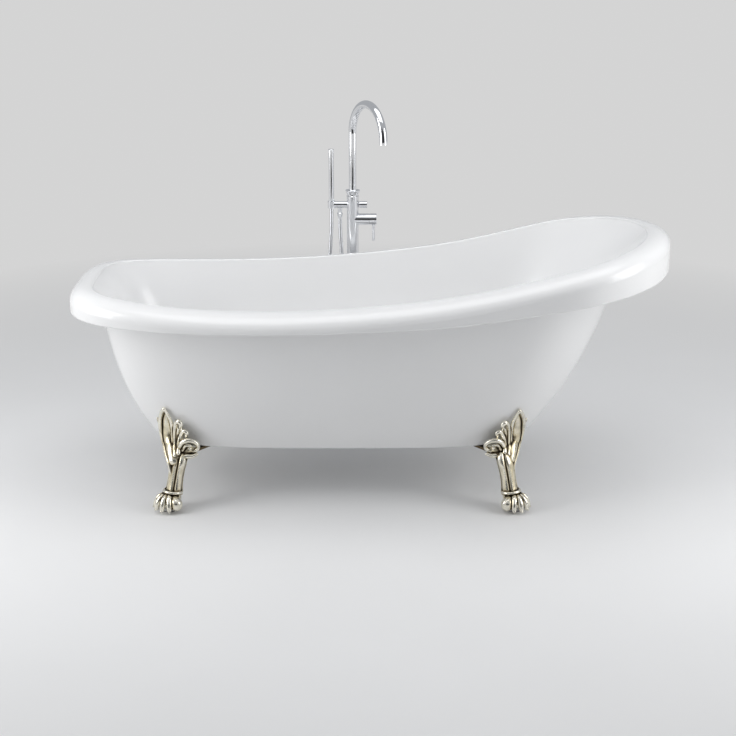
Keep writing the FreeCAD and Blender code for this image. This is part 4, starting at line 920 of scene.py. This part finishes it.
floor_place = floor_node("ShaderNodeTexCoord")
floor_distance = floor_node("ShaderNodeVectorMath")
floor_distance.operation = "LENGTH"
floor_tree.links.new(floor_place.outputs["Object"], floor_distance.inputs[0])
far_away = floor_node("ShaderNodeMapRange", **{"From Min": SHADOW_REACH[0], "From Max": SHADOW_REACH[1]})
floor_tree.links.new(floor_distance.outputs["Value"], far_away.inputs["Value"])
light_path = floor_node("ShaderNodeLightPath")
seen = light_path.outputs["Is Camera Ray"]
for other in ("Is Glossy Ray", "Is Transmission Ray"):
    seen = floor_math("MAXIMUM", seen, light_path.outputs[other])
shown = floor_math("MULTIPLY", seen, far_away.outputs["Result"])
even_grey = floor_node("ShaderNodeEmission", Color=(*grey(BACKDROP_GREY), 1), Strength=1)
floor_mix = floor_node("ShaderNodeMixShader")
floor_out = floor_tree.nodes["Material Output"]
floor_tree.links.new(shown, floor_mix.inputs["Fac"])
floor_tree.links.new(floor_shader.outputs["BSDF"], floor_mix.inputs[1])
floor_tree.links.new(even_grey.outputs["Emission"], floor_mix.inputs[2])
floor_tree.links.new(floor_mix.outputs["Shader"], floor_out.inputs["Surface"])
for sheet in (floor, backdrop):
    finish_with(sheet, FLOOR_FINISH)
print("floor and backdrop dressed")

# %% [markdown]
# The backdrop is for the camera alone: the world's even light comes in through it, and reflections look
# past it at the world, which is darker on the side where the camera stands.

# %% Backdrop for the camera alone
backdrop.visible_diffuse = False
backdrop.visible_glossy = False
backdrop.visible_shadow = False
print("backdrop seen by the camera only")

# %% [markdown]
# ### World
#
# Chrome shows what surrounds it, and it only reads as chrome if some of that is dark. So the world is an
# even pale grey, which fills the shadows from all round, and turns dark in a patch behind the camera.

# %% World
WORLD_BRIGHT = (0.8, 0.82, 0.85)
WORLD_DARK = grey(0.05)
WORLD_STRENGTH = 0.54
# The dark patch, by the y of a direction: -1 is straight behind the camera.
PATCH_EDGE, PATCH_MIDDLE = -0.8, -1
# The share of the way from its edge to its middle at which the patch is fully dark.
PATCH_DARK_FROM = 0.6

world = bpy.data.worlds.new("world")
bpy.context.scene.world = world
world.use_nodes = True
world_tree = world.node_tree
direction = world_tree.nodes.new("ShaderNodeTexCoord")
parts = world_tree.nodes.new("ShaderNodeSeparateXYZ")
world_tree.links.new(direction.outputs["Generated"], parts.inputs["Vector"])
behind = world_tree.nodes.new("ShaderNodeMapRange")
behind.inputs["From Min"].default_value = PATCH_EDGE
behind.inputs["From Max"].default_value = PATCH_MIDDLE
world_tree.links.new(parts.outputs["Y"], behind.inputs["Value"])
dark_side = ramp(world_tree, behind.outputs["Result"], [(0, WORLD_BRIGHT), (PATCH_DARK_FROM, WORLD_DARK)])
background = world_tree.nodes["Background"]
world_tree.links.new(dark_side, background.inputs["Color"])
background.inputs["Strength"].default_value = WORLD_STRENGTH
print("world strength", WORLD_STRENGTH)

# %% [markdown]
# ### Lamps
#
# White acrylic needs light with a direction to show its form. One wide soft lamp hangs above, and a strip
# stands on each side. The left one is a little stronger, which keeps the two sides from looking alike.

# %% Lamps
LAMPS = [
    # name, place, aim, width and height, power in watts
    ("overhead", (0.1, -0.3, 3.2), (0, 0, 0.4), (3.4, 2.0), 34),
    ("left_strip", (-2.1, -0.8, 1.3), (0, 0.2, 0.8), (1.1, 1.7), 23),
    ("right_strip", (2.1, -0.8, 1.3), (0, 0.2, 0.8), (1.1, 1.7), 20),
]

for name, place, aim, size, power in LAMPS:
    lamp = bpy.data.lights.new(name, "AREA")
    lamp.shape = "RECTANGLE"
    lamp.size, lamp.size_y = size
    lamp.energy = power
    holder = link(name, lamp)
    holder.location = place
    holder.rotation_euler = (Vector(aim) - Vector(place)).to_track_quat("-Z", "Y").to_euler()
    holder.visible_camera = False
bpy.context.scene.view_settings.view_transform = "Standard"
print(len(LAMPS), "lamps")

# %% [markdown]
# Polished tubes mirror the floor in front of the bath, which would turn them as pale as the backdrop. A
# photographer lays a black cloth there, out of the picture, and each tube gains a dark stripe down its
# middle. This cloth is seen by reflections only.

# %% Black cloth for the chrome
CLOTH_SIDE = 1.7
CLOTH_NEAR, CLOTH_FAR = -1.7, -4.4
CLOTH_HEIGHT = 0.01

cloth_mesh = bpy.data.meshes.new("black_cloth")
cloth_mesh.from_pydata([(x, y, CLOTH_HEIGHT) for x, y in (
    (-CLOTH_SIDE, CLOTH_FAR), (CLOTH_SIDE, CLOTH_FAR), (CLOTH_SIDE, CLOTH_NEAR), (-CLOTH_SIDE, CLOTH_NEAR))],
    [], [(0, 1, 2, 3)])
cloth = link("black_cloth", cloth_mesh)
finish_with(cloth, matt("black_felt", grey(0.015), grey(0.03),
                        roughness=0.9, grain=300, strength=0.5, depth=0.0005))
cloth.visible_camera = False
cloth.visible_diffuse = False
cloth.visible_shadow = False
print("black cloth laid")
